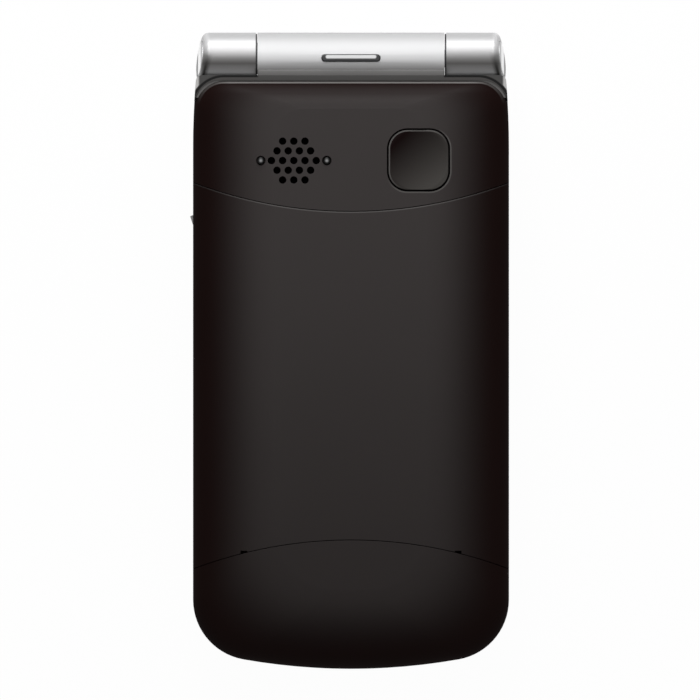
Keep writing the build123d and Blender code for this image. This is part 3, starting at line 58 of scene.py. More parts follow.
# %% A finish and its coordinates
def new_finish(name, colour, roughness, metallic=0.0, specular=0.5):
    """A material with one Principled shader and the object's own coordinates."""
    material = bpy.data.materials.new(name)
    material.use_nodes = True
    tree = material.node_tree
    shader = tree.nodes["Principled BSDF"]
    shader.inputs["Base Color"].default_value = (*colour, 1.0)
    shader.inputs["Roughness"].default_value = roughness
    shader.inputs["Metallic"].default_value = metallic
    shader.inputs["Specular IOR Level"].default_value = specular
    place = tree.nodes.new("ShaderNodeTexCoord")
    place.name = "place"
    return material, tree, shader


def position(tree):
    """Where on the phone a point is."""
    return tree.nodes["place"].outputs["Object"]


def along(tree, axis):
    """A point's X, Y or Z."""
    split = tree.nodes.new("ShaderNodeSeparateXYZ")
    tree.links.new(position(tree), split.inputs["Vector"])
    return split.outputs[axis]

# %% Sums on numbers and vectors
def fill_inputs(tree, node, values):
    """Links a node's inputs to sockets, or sets them to plain values."""
    for socket, value in zip(node.inputs, values):
        if isinstance(value, bpy.types.NodeSocket):
            tree.links.new(value, socket)
        else:
            socket.default_value = value


def number(tree, operation, *values):
    """One sum on numbers."""
    node = tree.nodes.new("ShaderNodeMath")
    node.operation = operation
    fill_inputs(tree, node, values)
    return node.outputs["Value"]


def vector(tree, operation, *values):
    """One sum on vectors."""
    node = tree.nodes.new("ShaderNodeVectorMath")
    node.operation = operation
    fill_inputs(tree, node, values)
    return node.outputs["Value" if operation in ("LENGTH", "DOT_PRODUCT") else "Vector"]

# %% Clouds, ranges and mixed colours
def noise(tree, per_metre, detail=3.0, roughness=0.5, stretch=(1.0, 1.0, 1.0)):
    """Cloudy noise at Object coordinates, squeezed or stretched along an axis."""
    mapping = tree.nodes.new("ShaderNodeMapping")
    mapping.inputs["Scale"].default_value = stretch
    tree.links.new(position(tree), mapping.inputs["Vector"])
    clouds = tree.nodes.new("ShaderNodeTexNoise")
    clouds.inputs["Scale"].default_value = per_metre
    clouds.inputs["Detail"].default_value = detail
    clouds.inputs["Roughness"].default_value = roughness
    tree.links.new(mapping.outputs["Vector"], clouds.inputs["Vector"])
    return clouds.outputs["Fac"]


def between(tree, factor, low, high, start=0.3, stop=0.7):
    """A number that runs from low to high as factor runs from start to stop.

    The range of 0.3 to 0.7 holds nearly all values of a noise.
    """
    remap = tree.nodes.new("ShaderNodeMapRange")
    remap.inputs["From Min"].default_value = start
    remap.inputs["From Max"].default_value = stop
    remap.inputs["To Min"].default_value = low
    remap.inputs["To Max"].default_value = high
    tree.links.new(factor, remap.inputs["Value"])
    return remap.outputs["Result"]


def blend_colours(tree, factor, first, second):
    """A colour that runs from first to second with factor. Both are colours or sockets."""
    mix = tree.nodes.new("ShaderNodeMix")
    mix.data_type = "RGBA"
    for socket, colour in (("A", first), ("B", second)):
        if isinstance(colour, tuple):
            mix.inputs[socket].default_value = (*colour, 1.0)
        else:
            tree.links.new(colour, mix.inputs[socket])
    tree.links.new(factor, mix.inputs["Factor"])
    return mix.outputs["Result"]

# %% Relief and slow drifts of colour
EDGE_SAMPLES = 6


def relief(tree, shader, height, depth, soft_edge=0.0):
    """Bumps of a height map that is depth metres deep, on edges rounded by soft_edge metres."""
    bump = tree.nodes.new("ShaderNodeBump")
    bump.inputs["Strength"].default_value = 1.0
    bump.inputs["Distance"].default_value = depth
    tree.links.new(height, bump.inputs["Height"])
    if soft_edge:
        edge = tree.nodes.new("ShaderNodeBevel")
        edge.samples = EDGE_SAMPLES
        edge.inputs["Radius"].default_value = soft_edge
        tree.links.new(edge.outputs["Normal"], bump.inputs["Normal"])
    tree.links.new(bump.outputs["Normal"], shader.inputs["Normal"])
    tree.links.new(bump.outputs["Normal"], shader.inputs["Coat Normal"])


def scaled(colour, factor):
    """The same colour, lighter or darker."""
    return tuple(channel * factor for channel in colour)


def drifting(tree, colour, drift, per_metre=60.0):
    """A colour that drifts a little lighter and darker over centimetres."""
    slow = noise(tree, per_metre, detail=2.0)
    return blend_colours(tree, slow, scaled(colour, 1.0 - drift), scaled(colour, 1.0 + drift))

# %% [markdown]
# ## Masks measured on the phone
#
# A printed line, a worn rim or a change of paint has a place on the phone, so its mask comes from a
# length in metres: how far a point lies along the phone or out from its middle line, how far it is
# outside a rounded rectangle, or how far it is from a centre or an axis. A mask rises or falls over
# a range of such a length, or keeps a band of it. Several masks are multiplied where all of them
# count, and an overlay lays a colour over a finish where its mask is 1. Some of these masks stand
# for light and shade rather than for a real change of colour. They suit the view from above in
# this scene's light, and stay where they are when the light or the view changes.

# %% Masks from a length
def rising(tree, length, start, stop):
    """A mask that grows from 0 to 1 as a length runs from start to stop."""
    return between(tree, length, 0.0, 1.0, start, stop)


def falling(tree, length, start, stop):
    """A mask that fades from 1 to 0 as a length runs from start to stop."""
    return between(tree, length, 1.0, 0.0, start, stop)


def overlap(tree, first, *others):
    """Several masks multiplied, which is 1 only where each of them is."""
    for other in others:
        first = number(tree, "MULTIPLY", first, other)
    return first


def band(tree, length, start, stop, softness=0.03 * MM):
    """A mask that is 1 where a length lies between start and stop."""
    after = rising(tree, length, start - softness, start + softness)
    before = falling(tree, length, stop - softness, stop + softness)
    return overlap(tree, after, before)


def overlay(material, mask, colour):
    """Lays a colour over a finish where its mask is 1."""
    tree = material.node_tree
    target = tree.nodes["Principled BSDF"].inputs["Base Color"]
    under = target.links[0].from_socket
    tree.links.new(blend_colours(tree, mask, under, colour), target)

# %% Lengths on the phone
def outwards(tree):
    """Metres from the middle line of the phone, to either side."""
    return number(tree, "ABSOLUTE", along(tree, "X"))


def round_distance(tree, centre, axes=(1.0, 1.0, 0.0)):
    """Metres from a centre, in plan unless other axes count."""
    away = vector(tree, "SUBTRACT", position(tree), centre)
    return vector(tree, "LENGTH", vector(tree, "MULTIPLY", away, axes))


def rounded_distance(tree, centre, half_width, half_length, corner):
    """Metres outside a rounded rectangle in plan, and less than 0 just inside its edge."""
    away = vector(tree, "ABSOLUTE", vector(tree, "SUBTRACT", position(tree), centre))
    past = vector(tree, "SUBTRACT", away, (half_width - corner, half_length - corner, 0.0))
    plan = vector(tree, "MULTIPLY", vector(tree, "MAXIMUM", past, (0.0, 0.0, 0.0)), (1.0, 1.0, 0.0))
    return number(tree, "SUBTRACT", vector(tree, "LENGTH", plan), corner)

# %% [markdown]
# ## Moulded plastic
#
# A moulded surface is never one flat value. Its colour drifts a little over centimetres, its gloss
# changes where fingers have polished it, and a fine grain breaks up the reflection. The phone's
# black plastic hardly shines by itself: a thin satin lacquer gives the sheen, so that is what the
# coat of the shader stands for.

# %% A recipe for moulded surfaces
POLISH_PER_METRE = 170.0


def vary_roughness(tree, roughness, pattern, least, most):
    """Roughness that runs from one share of its plain value to another as a pattern does."""
    target = tree.nodes["Principled BSDF"].inputs["Roughness"]
    tree.links.new(between(tree, pattern, roughness * least, roughness * most), target)


def coated(name, colour, roughness, metallic=0.0, specular=0.5, coat=0.0, drift=0.06,
           grain=9000.0, grain_depth=0.002 * MM, soft_edge=0.08 * MM):
    """Plastic or paint, with slow drifts of colour and gloss and a fine grain."""
    material, tree, shader = new_finish(name, colour, roughness, metallic, specular)
    shader.inputs["Coat Weight"].default_value = coat
    shader.inputs["Coat Roughness"].default_value = roughness
    tree.links.new(drifting(tree, colour, drift), shader.inputs["Base Color"])
    polish = noise(tree, POLISH_PER_METRE, detail=4.0)
    vary_roughness(tree, roughness, polish, least=0.94, most=1.06)
    relief(tree, shader, noise(tree, grain, detail=2.0), grain_depth, soft_edge)
    return material

# %% Plain plastics
gloss_black = coated(
    "gloss_black", (0.006, 0.006, 0.0065), roughness=0.2, specular=0.18, grain_depth=0.0004 * MM
)
moulded_black = coated(
    "moulded_black", (0.02, 0.02, 0.021), roughness=0.5, specular=0.35, grain_depth=0.004 * MM
)
slider_grey = coated("slider_grey", (0.27, 0.265, 0.265), roughness=0.45, specular=0.3)
print("finishes so far:", [m.name for m in bpy.data.materials])

# %% [markdown]
# ## The satin black of the back
#
# The back is one deep, slightly brown black. Its flat top has a charcoal bloom that fades down the
# rounded sides and towards the foot, and hardly at all towards the head. The bloom is painted and
# stands for the sheen that a broad light gives. The fades follow the height and the length of the
# phone, so the rear housing and the battery cover run into each other. The lid has the same finish,
# measured from its own flat face on the table.

# %% Satin black
SATIN_BLACK = (0.004, 0.0008, 0.0005)
# The lighter black is a painted sheen on the flat face; the darker one is the black of the sides.
SHEEN_BLACK = (0.0355, 0.0313, 0.0306)
SATIN_ROUGHNESS, SATIN_COAT = 0.53, 0.09
ROUNDING = 3.5 * MM  # height over which a shell's side bends into its flat face
BLOOM_POWER = 4.0
HEAD_LIFT, HEAD_RANGE = 0.36, (42.2 * MM, 43.9 * MM)  # along the phone
FOOT_SHARE, FOOT_RANGE = 0.71, (-45.0 * MM, 10.0 * MM)  # along the phone
head_edge, back_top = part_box("rear_housing")[1][1:]


def satin_black(name, face):
    """Satin black with a painted sheen: charcoal on its flat face and deep black down the sides."""
    material = coated(name, SATIN_BLACK, SATIN_ROUGHNESS, specular=0.0, coat=SATIN_COAT)
    tree = material.node_tree
    inner = face + math.copysign(ROUNDING, back_top / 2 - face)
    height = rising(tree, along(tree, "Z"), inner, face)
    head_lift = between(tree, along(tree, "Y"), 0.0, HEAD_LIFT, *HEAD_RANGE)
    height = number(tree, "MINIMUM", number(tree, "ADD", height, head_lift), 1.0)
    to_foot = between(tree, along(tree, "Y"), FOOT_SHARE, 1.0, *FOOT_RANGE)
    bloom = overlap(tree, number(tree, "POWER", height, BLOOM_POWER), to_foot)
    side_black = drifting(tree, SATIN_BLACK, drift=0.1)
    painted_sheen = drifting(tree, SHEEN_BLACK, drift=0.04)
    black = blend_colours(tree, bloom, side_black, painted_sheen)
    tree.links.new(black, tree.nodes["Principled BSDF"].inputs["Base Color"])
    return material


lid_black = satin_black("lid_black", 0.0)
housing_black = satin_black("housing_black", back_top)
cover_black = satin_black("cover_black", back_top)
rear_key_black = satin_black("rear_key_black", back_top)
print("back, mm above the table:", round(back_top / MM, 2))

# %% [markdown]
# ## Rims that catch the light
#
# Where two shells meet, their edges catch the light, and that light is painted. The joint at the
# head shows as a painted highlight along the rear housing, with painted shade beyond it, and the
# upper edge of the battery cover as a fainter painted highlight. Real chamfers this fine would be
# thinner than a pixel, so each line is a band of colour that follows the edge at a measured
# distance.

# %% Head joint
HEAD_HALF_WIDTH, HEAD_CORNER = 25.45 * MM, 4.6 * MM
WELL_PAST = 1.0 * MM  # further than any shell reaches past its own edge
# A painted highlight along the head edge of the housing, with painted shade beyond it.
RIM_LINE, RIM_HIGHLIGHT = (-0.42 * MM, -0.16 * MM), (0.1, 0.095, 0.092)
RIM_SHADE, RIM_DARK = (-0.18 * MM, WELL_PAST), (0.03, 0.028, 0.027)
RIM_ALONG = (40.6 * MM, 43.4 * MM)  # where the rim comes in, along the phone
BEND, BEND_SHARE = (20.0 * MM, 22.5 * MM), 0.35  # where the pale line weakens, outwards


def beyond_head(tree):
    """Metres outside the head of the rear housing, less than 0 inside it."""
    return rounded_distance(tree, (0.0, 0.0, 0.0), HEAD_HALF_WIDTH, head_edge, HEAD_CORNER)


tree = housing_black.node_tree
at_head = rising(tree, along(tree, "Y"), *RIM_ALONG)
overlay(housing_black, overlap(tree, band(tree, beyond_head(tree), *RIM_SHADE), at_head), RIM_DARK)
rim_highlight_band = band(tree, beyond_head(tree), *RIM_LINE)
straight = between(tree, outwards(tree), 1.0, BEND_SHARE, *BEND)
overlay(housing_black, overlap(tree, rim_highlight_band, at_head, straight), RIM_HIGHLIGHT)
print("head of the rear housing, mm:", round(head_edge / MM, 2))

# %% Cover joint
SEAM_CENTRE, SEAM_RADIUS = (0.0, 95.5 * MM, 0.0), 72.6 * MM
# A painted highlight along the cover's upper edge, stronger in the middle than at the sides.
SEAM_LINE, PAINTED_SEAM_HIGHLIGHT = (0.0, 0.3 * MM), (0.12, 0.115, 0.112)
GLINT_MIDDLE, GLINT_SIDES = 0.5, 0.1  # strength of the pale line
GLINT_RANGE = (12.0 * MM, 24.0 * MM)

tree = cover_black.node_tree
from_seam = number(tree, "SUBTRACT", round_distance(tree, SEAM_CENTRE), SEAM_RADIUS)
glint_strength = between(tree, outwards(tree), GLINT_MIDDLE, GLINT_SIDES, *GLINT_RANGE)
overlay(cover_black, overlap(tree, band(tree, from_seam, *SEAM_LINE), glint_strength), PAINTED_SEAM_HIGHLIGHT)
print("seam on the middle line, mm:", round((SEAM_CENTRE[1] - SEAM_RADIUS) / MM, 2))

# %% [markdown]
# ## The dished back key
#
# The back key is a shallow dish for a fingertip, too shallow for the soft boxes to shade it well,
# so its shade is painted. It runs down one diagonal, from nearly black beside the hinge to charcoal
# on the opposite side. The key's sides are painted in shade, and the key has a painted highlight
# along its edge on the hinge's side; the opening round it has one on the opposite side.

# %% Dish of the back key
def middle_of(node):
    """The middle of a node's box at rest."""
    low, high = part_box(node)
    return (Vector(low) + Vector(high)) / 2


key_centre = middle_of("rear_key")
KEY_HALF, KEY_CORNER = 5.02 * MM, 3.22 * MM
DOWN = (math.sqrt(0.5), -math.sqrt(0.5), 0.0)  # away from the hinge and to the right
DISH_RANGE = (-4.5 * MM, 5.5 * MM)
# Painted shade down the dish and on the key's sides, and painted highlights along the edges.
DISH_DARK, DISH_LIGHT = (0.0025, 0.0003, 0.0003), (0.044, 0.041, 0.038)
KEY_SIDE, GROOVE_SHADE = (-0.16 * MM, WELL_PAST), (0.0015, 0.001, 0.001)
KEY_LINE, EDGE_HIGHLIGHT = (-0.34 * MM, -0.12 * MM), (0.075, 0.071, 0.068)
TURN_RANGE = (-1.5 * MM, 1.5 * MM)  # where an edge line comes and goes, down the slope


def down_slope(tree):
    """Metres from the key's centre, measured down the slope of its dish."""
    return vector(tree, "DOT_PRODUCT", vector(tree, "SUBTRACT", position(tree), key_centre), DOWN)


tree = rear_key_black.node_tree
dish = blend_colours(tree, rising(tree, down_slope(tree), *DISH_RANGE), DISH_DARK, DISH_LIGHT)
tree.links.new(dish, tree.nodes["Principled BSDF"].inputs["Base Color"])
key_edge = rounded_distance(tree, key_centre, KEY_HALF, KEY_HALF, KEY_CORNER)
overlay(rear_key_black, band(tree, key_edge, *KEY_SIDE), GROOVE_SHADE)
lit = falling(tree, down_slope(tree), *TURN_RANGE)
overlay(rear_key_black, overlap(tree, band(tree, key_edge, *KEY_LINE), lit), EDGE_HIGHLIGHT)
print("back key, mm:", [round(c / MM, 2) for c in key_centre[:2]])

# %% Opening round the back key
OPENING_HALF, OPENING_CORNER = 5.2 * MM, 3.4 * MM
OPENING_LINE = (-0.02 * MM, 0.22 * MM)

tree = housing_black.node_tree
opening_edge = rounded_distance(tree, key_centre, OPENING_HALF, OPENING_HALF, OPENING_CORNER)
lit = rising(tree, down_slope(tree), *TURN_RANGE)
overlay(housing_black, overlap(tree, band(tree, opening_edge, *OPENING_LINE), lit), EDGE_HIGHLIGHT)
print("gap round the key, mm:", round((OPENING_HALF - KEY_HALF) / MM, 2))

# %% [markdown]
# ## Silver paint on the hinge, gunmetal on the frames
#
# Both frames are one moulding each, but they are sprayed in two colours: bright metallic silver on
# the hinge barrel, and a dark gunmetal on the band and the ledge. The change of colour follows the
# distance from the hinge axis, so the mask is a length measured across that axis. The flakes in
# the silver are much finer than a pixel and only show as a soft sparkle in the roughness.

# %% Where the hinge is
hinge_axis = middle_of("hinge_module")
barrel_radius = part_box("front_housing")[1][1] - hinge_axis.y
PAINT_EDGE = (barrel_radius + 0.03 * MM, barrel_radius + 0.09 * MM)  # just above the surface


def from_axis(tree):
    """Metres from the hinge axis."""
    return round_distance(tree, (0.0, hinge_axis.y, hinge_axis.z), (0.0, 1.0, 1.0))


def on_barrel(tree):
    """1 on the surface of the hinge barrel, 0 further from its axis."""
    return falling(tree, from_axis(tree), *PAINT_EDGE)


print("hinge axis, mm:", round(hinge_axis.y / MM, 2), round(hinge_axis.z / MM, 2))
print("barrel radius, mm:", round(barrel_radius / MM, 2))

# %% Two-colour paint
GUNMETAL, GUNMETAL_ROUGHNESS = (0.046, 0.0435, 0.042), 0.5
FLAKES_PER_METRE, PAINT_GRAIN_PER_METRE = 20000.0, 12000.0


def frame_paint(name, silver, roughness, metallic):
    """Metallic silver on the hinge barrel and gunmetal elsewhere."""
    material, tree, shader = new_finish(name, GUNMETAL, GUNMETAL_ROUGHNESS, specular=0.1)
    barrel = on_barrel(tree)
    frame_colour = drifting(tree, GUNMETAL, drift=0.05)
    barrel_colour = drifting(tree, silver, drift=0.02)
    paint_colour = blend_colours(tree, barrel, frame_colour, barrel_colour)
    tree.links.new(paint_colour, shader.inputs["Base Color"])
    shine = between(tree, barrel, 0.0, metallic, start=0.0, stop=1.0)
    tree.links.new(shine, shader.inputs["Metallic"])
    flakes = noise(tree, FLAKES_PER_METRE, detail=1.0)
    sparkle = between(tree, flakes, roughness * 0.92, roughness * 1.08)
    spread = tree.nodes.new("ShaderNodeMix")
    spread.inputs["A"].default_value = GUNMETAL_ROUGHNESS
    tree.links.new(sparkle, spread.inputs["B"])
    tree.links.new(barrel, spread.inputs["Factor"])
    tree.links.new(spread.outputs["Result"], shader.inputs["Roughness"])
    grain = noise(tree, PAINT_GRAIN_PER_METRE, detail=2.0)
    relief(tree, shader, grain, depth=0.0015 * MM, soft_edge=0.05 * MM)
    return material


base_paint = frame_paint("base_frame_paint", (0.5, 0.5, 0.505), roughness=0.5, metallic=0.12)
lid_paint = frame_paint("lid_frame_paint", (0.36, 0.36, 0.364), roughness=0.42, metallic=0.5)
print("frame paints:", base_paint.name, lid_paint.name)

# %% [markdown]
# ## Light and shade painted where silver turns into gunmetal
#
# The two paints meet without a hard line, and light and shade are painted over them. On each
# knuckle the silver is painted in shade towards the ledge, and darkest in a slanting band next to
# its end cap, which stands for the shade of a hollow there; its rounded end has a painted highlight
# on the far side. The middle barrel runs up into the head ledge: its silver is painted darker on
# its far side and along that slope, as shade, and painted lighter in the valley where the slope
# starts.
# On the ledge beside the slope a narrow painted shadow runs along the joint, the two corners beyond
# that line are painted in shade with a painted highlight on their outer edge, and the wall that
# faces each knuckle is silver again. Most places are given as lengths past the hinge axis, less
# than 0 before it.

# %% Fades on the knuckles
def past_axis(tree):
    """Metres past the hinge axis along the phone, and less than 0 on the ledge's side."""
    return number(tree, "SUBTRACT", along(tree, "Y"), hinge_axis.y)


# Painted shade on each knuckle, darkest in a slanting band by the end cap, and a painted highlight
# on the far side of its rounded end.
KNUCKLE_SHADE, SHADE_LEAST = (0.08, 0.077, 0.075), 0.25
SHADE_RISE, SHADE_FALL = (-2.4 * MM, -0.9 * MM), (-0.95 * MM, 2.85 * MM)
HOLLOW_SHADE = (0.03, 0.029, 0.028)
HOLLOW_LEAN = 0.28  # how far the hollow runs inwards for each metre along the phone
HOLLOW, HOLLOW_SOFTNESS = (23.12 * MM, 24.02 * MM), 0.35 * MM
HOLLOW_FALL = (-1.35 * MM, 1.05 * MM)
ROUND_END, KNUCKLE_END_HIGHLIGHT = (23.2 * MM, 23.9 * MM), (0.5, 0.5, 0.505)
FAR_SIDE = (0.45 * MM, 2.05 * MM)

tree = lid_paint.node_tree
rise = between(tree, past_axis(tree), SHADE_LEAST, 1.0, *SHADE_RISE)
fall = falling(tree, past_axis(tree), *SHADE_FALL)
overlay(lid_paint, overlap(tree, on_barrel(tree), rise, fall), KNUCKLE_SHADE)
leaning = number(tree, "MULTIPLY_ADD", past_axis(tree), HOLLOW_LEAN, outwards(tree))
hollow = band(tree, leaning, *HOLLOW, HOLLOW_SOFTNESS)
near_side = falling(tree, past_axis(tree), *HOLLOW_FALL)
overlay(lid_paint, overlap(tree, hollow, near_side), HOLLOW_SHADE)
round_end = rising(tree, outwards(tree), *ROUND_END)
far_side = rising(tree, past_axis(tree), *FAR_SIDE)
overlay(lid_paint, overlap(tree, round_end, far_side), KNUCKLE_END_HIGHLIGHT)
shade_ends = [round(c / MM, 2) for c in (SHADE_RISE[0], SHADE_FALL[1])]
print("knuckle shade, mm past the axis:", shade_ends)

# %% Fades on the middle barrel
FAIRING, FAIRING_TOP = -1.85 * MM, 12.4 * MM  # where the slope starts, past the axis and upwards
# The barrel's silver is painted darker on its far side and towards the slope, as shade.
FAR_FADE, BARREL_FAR_SHADE = (1.15 * MM, 4.15 * MM), (0.31, 0.31, 0.313)
NEAR_FADE, BARREL_NEAR_SHADE = (FAIRING, -0.25 * MM), (0.28, 0.277, 0.276)

tree = base_paint.node_tree
to_far_side = rising(tree, past_axis(tree), *FAR_FADE)
overlay(base_paint, overlap(tree, on_barrel(tree), to_far_side), BARREL_FAR_SHADE)
to_fairing = falling(tree, past_axis(tree), *NEAR_FADE)
overlay(base_paint, overlap(tree, on_barrel(tree), to_fairing), BARREL_NEAR_SHADE)
print("slope starts, mm along the phone:", round((hinge_axis.y + FAIRING) / MM, 2))

# %% Slope up to the ledge
SHARP = 0.1 * MM
MIDDLE = (15.2 * MM, 15.4 * MM)  # where the slope ends, outwards
# The slope is painted in shade, darkest at the ledge, and the valley where it starts is painted
# lighter.
SLOPE_DARK, SLOPE_LIGHT, SLOPE_POWER = (0.046, 0.0445, 0.0435), (0.122, 0.12, 0.119), 3.0
VALLEY, VALLEY_SOFTNESS = (-1.97 * MM, -1.79 * MM), 0.05 * MM
VALLEY_PAINTED_LIGHT = (0.23, 0.228, 0.227)

before_fairing = falling(tree, past_axis(tree), FAIRING, FAIRING + SHARP)
above_barrel = rising(tree, along(tree, "Z"), FAIRING_TOP, FAIRING_TOP + SHARP)
on_ledge = overlap(tree, before_fairing, above_barrel)
middle = falling(tree, outwards(tree), *MIDDLE)
up_slope = rising(tree, past_axis(tree), head_edge - hinge_axis.y, FAIRING)
slope = blend_colours(tree, number(tree, "POWER", up_slope, SLOPE_POWER), SLOPE_DARK, SLOPE_LIGHT)
overlay(base_paint, overlap(tree, on_ledge, middle), slope)
valley = band(tree, past_axis(tree), *VALLEY, VALLEY_SOFTNESS)
overlay(base_paint, overlap(tree, valley, middle), VALLEY_PAINTED_LIGHT)
print("slope ends, mm from the middle line:", round(MIDDLE[1] / MM, 2))

# %% Sides of the ledge
LEDGE_TOP = (14.8 * MM, 14.95 * MM)  # above the table
# A painted shadow along the joint, and at the corners painted shade with a painted highlight on the
# outer edge.
GAP_LINE, GAP_SHADOW = (0.6 * MM, 1.0 * MM), (0.003, 0.003, 0.003)
CORNER = (1.08 * MM, 1.14 * MM)  # outside the head of the housing, as the line is
CORNER_EDGE = (24.9 * MM, 25.2 * MM)
CORNER_SHADE, CORNER_HIGHLIGHT = (0.05, 0.049, 0.048), (0.4, 0.395, 0.39)

on_top = rising(tree, along(tree, "Z"), *LEDGE_TOP)
ledge_sides = overlap(tree, on_ledge, number(tree, "SUBTRACT", 1.0, middle), on_top)
gap_shadow_band = band(tree, beyond_head(tree), *GAP_LINE)
overlay(base_paint, overlap(tree, ledge_sides, gap_shadow_band), GAP_SHADOW)
corner = rising(tree, beyond_head(tree), *CORNER)
corner_edge = rising(tree, outwards(tree), *CORNER_EDGE)
corner_light_and_shade = blend_colours(tree, corner_edge, CORNER_SHADE, CORNER_HIGHLIGHT)
overlay(base_paint, overlap(tree, ledge_sides, corner), corner_light_and_shade)
print("dark line, mm past the rear housing:", [round(c / MM, 2) for c in GAP_LINE])

# %% Walls that face the knuckles
WALL = (-2.9 * MM, -2.87 * MM)
BY_KNUCKLE = (15.9 * MM, 16.0 * MM)  # outwards
WALL_SILVER = (0.32, 0.319, 0.318)

head_wall = rising(tree, past_axis(tree), *WALL)
below_top = falling(tree, along(tree, "Z"), *LEDGE_TOP)
by_knuckle = rising(tree, outwards(tree), *BY_KNUCKLE)
overlay(base_paint, overlap(tree, on_ledge, head_wall, below_top, by_knuckle), WALL_SILVER)
print("walls start, mm past the axis:", round(WALL[0] / MM, 2))

# %% [markdown]
# ## End caps
#
# Each knuckle ends in a turned cap. Its flat face is painted dark, as shade, and the bevel behind
# the face has a painted highlight. Both are measured from the face towards the middle of the phone.

# %% End caps
# A painted highlight on the bevel and painted shade on the face.
CAP_BAND, CAP_HIGHLIGHT, CAP_SOFTNESS = (-0.75 * MM, -0.3 * MM), (0.9, 0.9, 0.9), 0.05 * MM
CAP_RIM, CAP_SHADE = (-0.3 * MM, -0.2 * MM), (0.02, 0.02, 0.02)
cap_silver = coated("cap_silver", (0.42, 0.42, 0.425), roughness=0.36, metallic=0.8, drift=0.02)
cap_face = -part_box("end_cap_left")[0][0]

tree = cap_silver.node_tree
past_face = number(tree, "SUBTRACT", outwards(tree), cap_face)
overlay(cap_silver, rising(tree, past_face, *CAP_RIM), CAP_SHADE)
overlay(cap_silver, band(tree, past_face, *CAP_BAND, CAP_SOFTNESS), CAP_HIGHLIGHT)
print("end cap face, mm from the middle line:", round(cap_face / MM, 2))

# %% [markdown]
# ## Metal parts
#
# Springs, screws, cans and sockets are bare metal. Turned and drawn metal has fine scratches that
# run one way, so the noise behind its gloss is stretched along one axis. The same recipe makes
# steel, nickel, gold plate and a dark burnished steel, which differ in colour and gloss only.

# %% A recipe for bare metal
SCRATCHES_PER_METRE, SCRATCH_STRETCH = 1500.0, (1.0, 14.0, 14.0)


def bare_metal(name, colour, roughness):
    """Metal with fine scratches that run across the phone."""
    material, tree, shader = new_finish(name, colour, roughness, metallic=1.0)
    scratches = noise(
        tree, SCRATCHES_PER_METRE, detail=4.0, roughness=0.65, stretch=SCRATCH_STRETCH
    )
    vary_roughness(tree, roughness, scratches, least=0.7, most=1.35)
    metal_colour = drifting(tree, colour, drift=0.06, per_metre=300.0)
    tree.links.new(metal_colour, shader.inputs["Base Color"])
    relief(tree, shader, scratches, depth=0.001 * MM, soft_edge=0.04 * MM)
    return material


steel = bare_metal("steel", (0.5, 0.5, 0.51), roughness=0.34)
burnished_steel = bare_metal("burnished_steel", (0.03, 0.03, 0.032), roughness=0.45)
nickel = bare_metal("nickel", (0.62, 0.6, 0.56), roughness=0.22)
gold_plate = bare_metal("gold_plate", (0.83, 0.6, 0.25), roughness=0.25)
pip_metal = bare_metal("pip_metal", (0.012, 0.012, 0.012), roughness=0.35)
print("metals:", [m.name for m in (steel, burnished_steel, nickel, gold_plate, pip_metal)])

# %% Rest pips
# A painted highlight on the middle of each pip.
PIP_SPOT, PIP_HIGHLIGHT = (0.08 * MM, 0.36 * MM), (0.17, 0.17, 0.17)
pips_middle = middle_of("rest_pips")
pips_high = Vector(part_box("rest_pips")[1]) - pips_middle
pip_offset = pips_high.x - pips_high.y  # the row's half length less a pip's radius

tree = pip_metal.node_tree
mirrored = vector(tree, "ABSOLUTE", vector(tree, "SUBTRACT", position(tree), pips_middle))
from_pip = vector(tree, "SUBTRACT", mirrored, (pip_offset, 0.0, 0.0))
spot = vector(tree, "LENGTH", vector(tree, "MULTIPLY", from_pip, (1.0, 1.0, 0.0)))
overlay(pip_metal, falling(tree, spot, *PIP_SPOT), PIP_HIGHLIGHT)
print("rest pips, mm apart:", round(2 * pip_offset / MM, 2))

# %% [markdown]
# ## Rubber, foam and woven mesh
#
# Rubber feet and foam gaskets scatter light softly, so they are rough and hardly shine. The meshes
# over the loudspeaker and the earpiece are woven from wires a tenth or two of a millimetre apart.
# Two wave textures at right angles give the height of such a weave.

# %% Rubber and foam
soft_rubber = coated(
    "soft_rubber", (0.03, 0.03, 0.031), roughness=0.8, specular=0.25, grain=5000.0,
    grain_depth=0.006 * MM,
)
black_foam = coated(
    "black_foam", (0.012, 0.012, 0.012), roughness=0.95, specular=0.1, grain=3500.0,
    grain_depth=0.04 * MM,
)
print("soft finishes:", soft_rubber.name, black_foam.name)

# %% Woven mesh
NEAR_BLACK = (0.001, 0.0008, 0.0008)
WAVE_ANGLE = 20.0  # radians that a wave texture turns over one unit of its scale


def ripples(tree, direction, pitch):
    """A wave of dark and light lines across one axis, with the pitch in metres."""
    wave = tree.nodes.new("ShaderNodeTexWave")
    wave.bands_direction = direction
    wave.inputs["Scale"].default_value = 2 * math.pi / (WAVE_ANGLE * pitch)
    wave.inputs["Distortion"].default_value = 0.0
    tree.links.new(position(tree), wave.inputs["Vector"])
    return wave.outputs["Fac"]


def woven(name, wire, pitch, metallic, specular):
    """Fine wire cloth with a dark hole between each four wires."""
    material, tree, shader = new_finish(name, wire, 0.5, metallic, specular)
    weave = number(tree, "MAXIMUM", ripples(tree, "X", pitch), ripples(tree, "Y", pitch))
    on_wire = rising(tree, weave, start=0.4, stop=0.8)
    shade = blend_colours(tree, on_wire, NEAR_BLACK, wire)
    tree.links.new(shade, shader.inputs["Base Color"])
    relief(tree, shader, weave, depth=pitch / 6)
    return material


grille_cloth = woven(
    "grille_cloth", scaled(NEAR_BLACK, 3.0), pitch=0.12 * MM, metallic=0.0, specular=0.0
)
earpiece_cloth = woven(
    "earpiece_cloth", (0.12, 0.12, 0.12), pitch=0.18 * MM, metallic=0.6, specular=0.2
)
print("meshes:", grille_cloth.name, earpiece_cloth.name)

